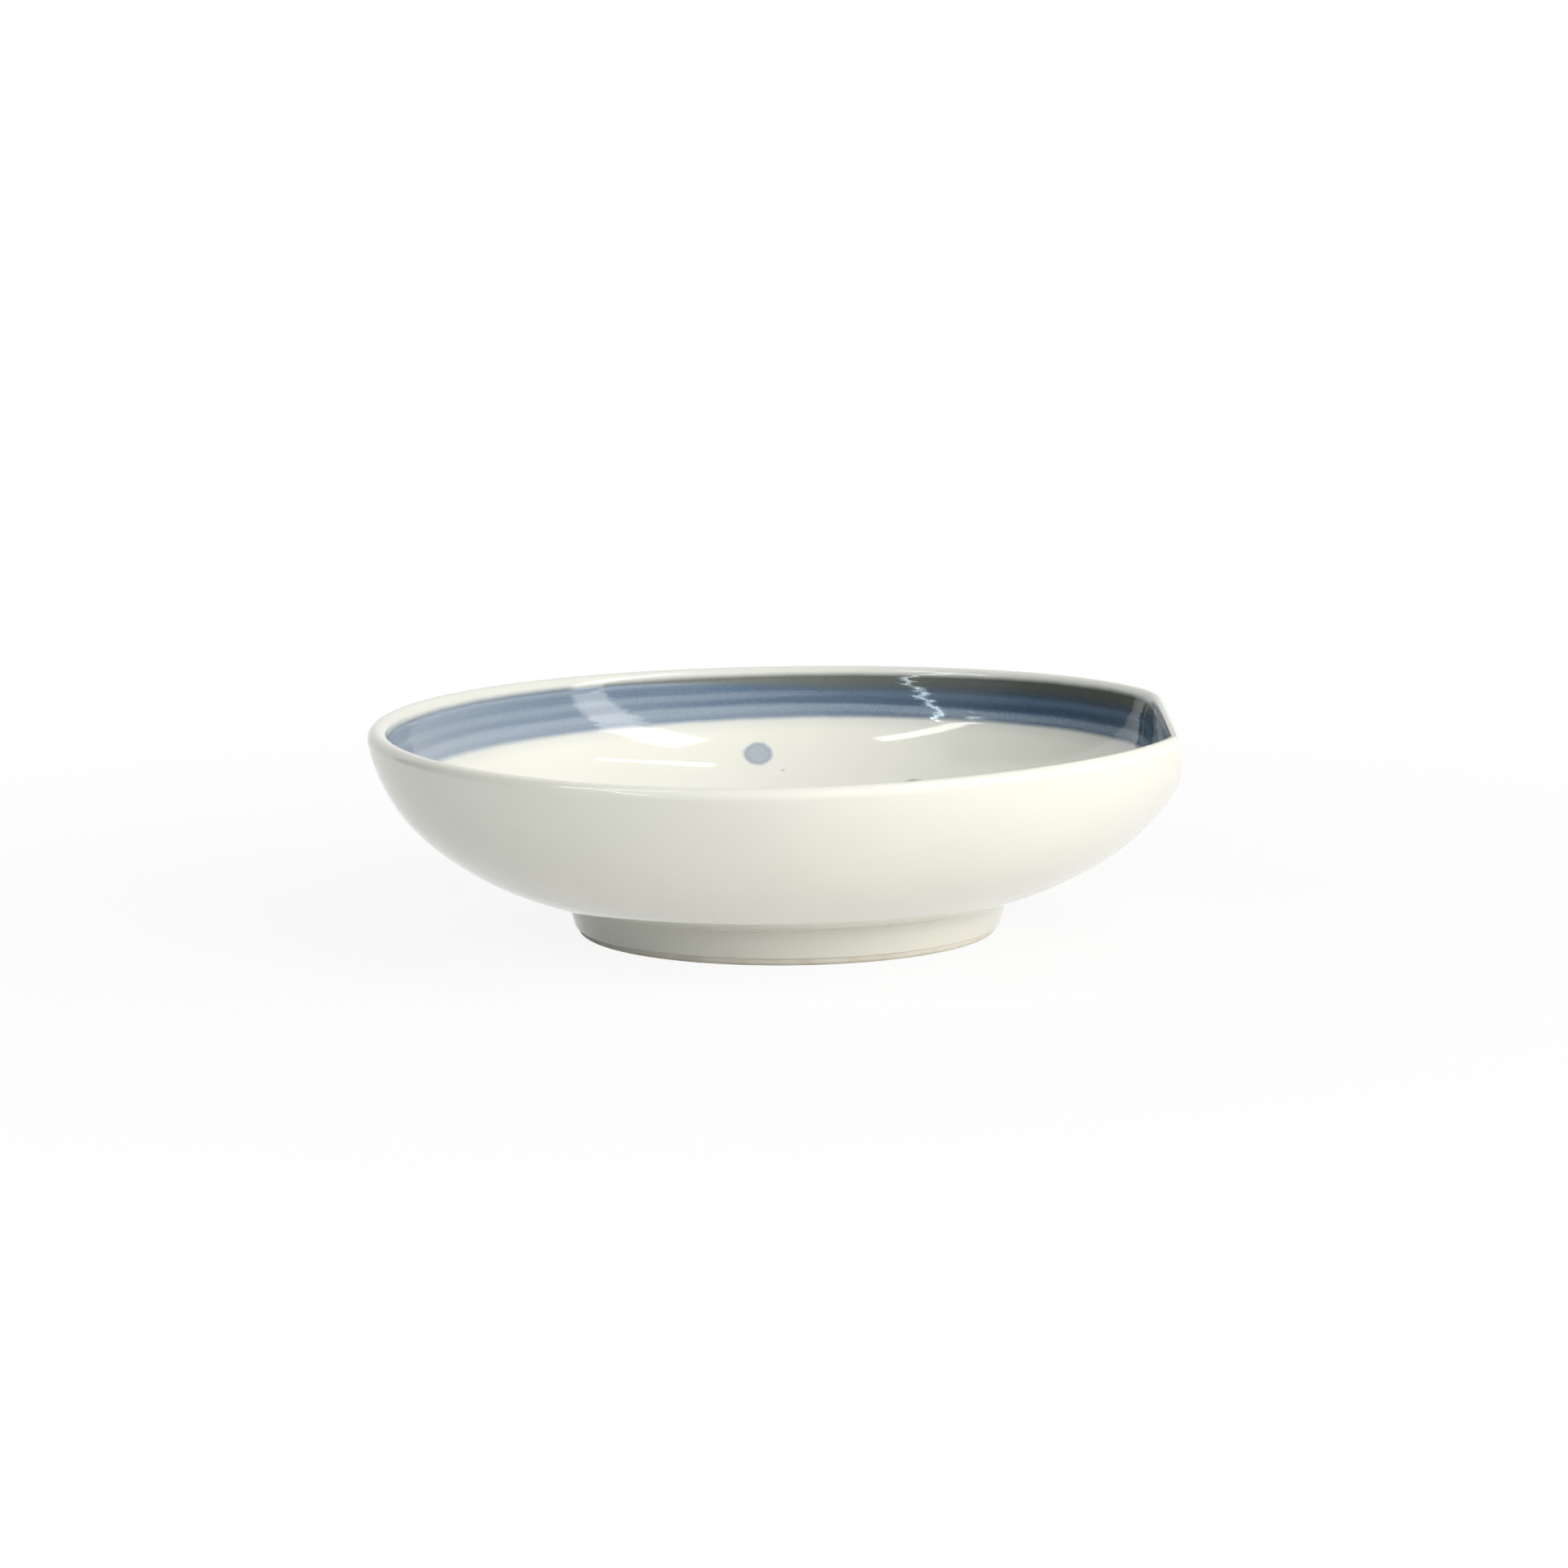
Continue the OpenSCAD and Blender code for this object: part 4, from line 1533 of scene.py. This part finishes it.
class DISH_OT_clay(DishOperator, bpy.types.Operator):
    """Make the clay wall and floor, and the foot ring with its bare standing edge"""

    bl_idname = "dish.clay"
    bl_label = "Clay"

    def execute(self, context):
        dish = self.dish(context)
        glaze = dish.shape.glaze
        clay = clay_material("Porcelain", dish)
        body = shell(
            dish,
            (("floor", "band", "line", "lip", "rim", "wall", "fillet_top"), glaze, True),
            (("recess_corner_top", "ceiling"), glaze, True))
        body.build("bowl_body_wall", "bowl_body", "porcelain", clay)
        ring = shell(
            dish,
            (("fillet_low", "side"), glaze, True),
            (("bare",), 0.0, True),
            (("recess_side", "recess_corner_low"), glaze, True))
        ring.build("foot_ring_clay", "foot_ring", "porcelain", clay)
        return {"FINISHED"}


class DISH_OT_clear_glaze(DishOperator, bpy.types.Operator):
    """Make the clear glaze inside, outside, on the foot and in its recess"""

    bl_idname = "dish.clear_glaze"
    bl_label = "Clear glaze"

    def execute(self, context):
        dish = self.dish(context)
        clear = glaze_material("Clear glaze", dish, dish.painting.white[:])
        inside = floor_with_holes(dish, *floor_spots(dish))
        inside.build("inside_glaze_coat", "inside_glaze", "clear_glaze", clear)
        outside = coat(dish, ("lip", "rim", "wall", "fillet_top"))
        outside.build("outside_glaze_coat", "outside_glaze", "clear_glaze", clear)
        side = ("fillet_low", "side")
        foot = coat(dish, side + ("roll",), side)
        foot.build("foot_glaze_coat", "foot_glaze", "clear_glaze", clear)
        hollow = ("recess_side", "recess_corner_low", "recess_corner_top", "ceiling")
        base = coat(dish, ("recess_roll",) + hollow, hollow)
        base.build("base_glaze_coat", "base_glaze", "clear_glaze", clear)
        return {"FINISHED"}


class DISH_OT_brushed_band(DishOperator, bpy.types.Operator):
    """Make the brushed blue band and the brown line over it"""

    bl_idname = "dish.brushed_band"
    bl_label = "Brushed band"

    def execute(self, context):
        dish = self.dish(context)
        blue = glaze_material("Band blue", dish, dish.painting.deep_blue[:])
        coat(dish, ("band",)).build("blue_band_coat", "blue_band", "band_blue", blue)
        iron = glaze_material("Iron brown", dish, dish.painting.brown[:])
        coat(dish, ("line",)).build("brown_line_coat", "brown_line", "iron_brown", iron)
        return {"FINISHED"}


class DISH_OT_dots(DishOperator, bpy.types.Operator):
    """Make the blue dots, each a patch of stained glaze in the floor"""

    bl_idname = "dish.dots"
    bl_label = "Dots"

    def execute(self, context):
        dish = self.dish(context)
        blue = glaze_material("Dot blue", dish, dish.painting.dot_blue[:])
        patches = dot_patches(dish, *floor_spots(dish))
        patches.build("blue_dot_patches", "blue_dots", "dot_blue", blue)
        return {"FINISHED"}


class DISH_OT_stage(DishOperator, bpy.types.Operator):
    """Make the camera, the lamps, the room's light and the floor"""

    bl_idname = "dish.stage"
    bl_label = "Stage"

    def execute(self, context):
        stage = context.scene.dish_stage
        context.scene.view_settings.view_transform = "Standard"
        make_camera(stage)
        make_room(stage)
        make_floor()
        make_dim_side(stage)
        make_lamps(stage)
        return {"FINISHED"}


class DISH_PT_panel(bpy.types.Panel):
    """The steps that make the dish, and its sizes"""

    bl_idname = "DISH_PT_panel"
    bl_label = "Soy sauce dish"
    bl_space_type = "VIEW_3D"
    bl_region_type = "UI"
    bl_category = "Dish"

    def draw(self, context):
        column = self.layout.column(align=True)
        for step in STEPS:
            column.operator(step.bl_idname)
        for group in (context.scene.dish_shape, context.scene.dish_painting,
                      context.scene.dish_stage):
            box = self.layout.box().column()
            for name in group.__annotations__:
                box.prop(group, name)


STEPS = (DISH_OT_clay, DISH_OT_clear_glaze, DISH_OT_brushed_band, DISH_OT_dots, DISH_OT_stage)
GROUPS = {"dish_shape": DishShape, "dish_painting": DishPainting, "dish_stage": DishStage}


def register():
    """Registers the classes and puts their values on the scene."""
    for made in (*GROUPS.values(), *STEPS, DISH_PT_panel):
        bpy.utils.register_class(made)
    for name, group in GROUPS.items():
        setattr(bpy.types.Scene, name, PointerProperty(type=group))


def unregister():
    """Undoes what register did."""
    for name in GROUPS:
        delattr(bpy.types.Scene, name)
    for made in (DISH_PT_panel, *reversed(STEPS), *reversed(GROUPS.values())):
        bpy.utils.unregister_class(made)


def main():
    """Makes the whole dish and its stage."""
    register()
    bpy.ops.dish.clay()
    bpy.ops.dish.clear_glaze()
    bpy.ops.dish.brushed_band()
    bpy.ops.dish.dots()
    bpy.ops.dish.stage()


if __name__ == "__main__":
    main()
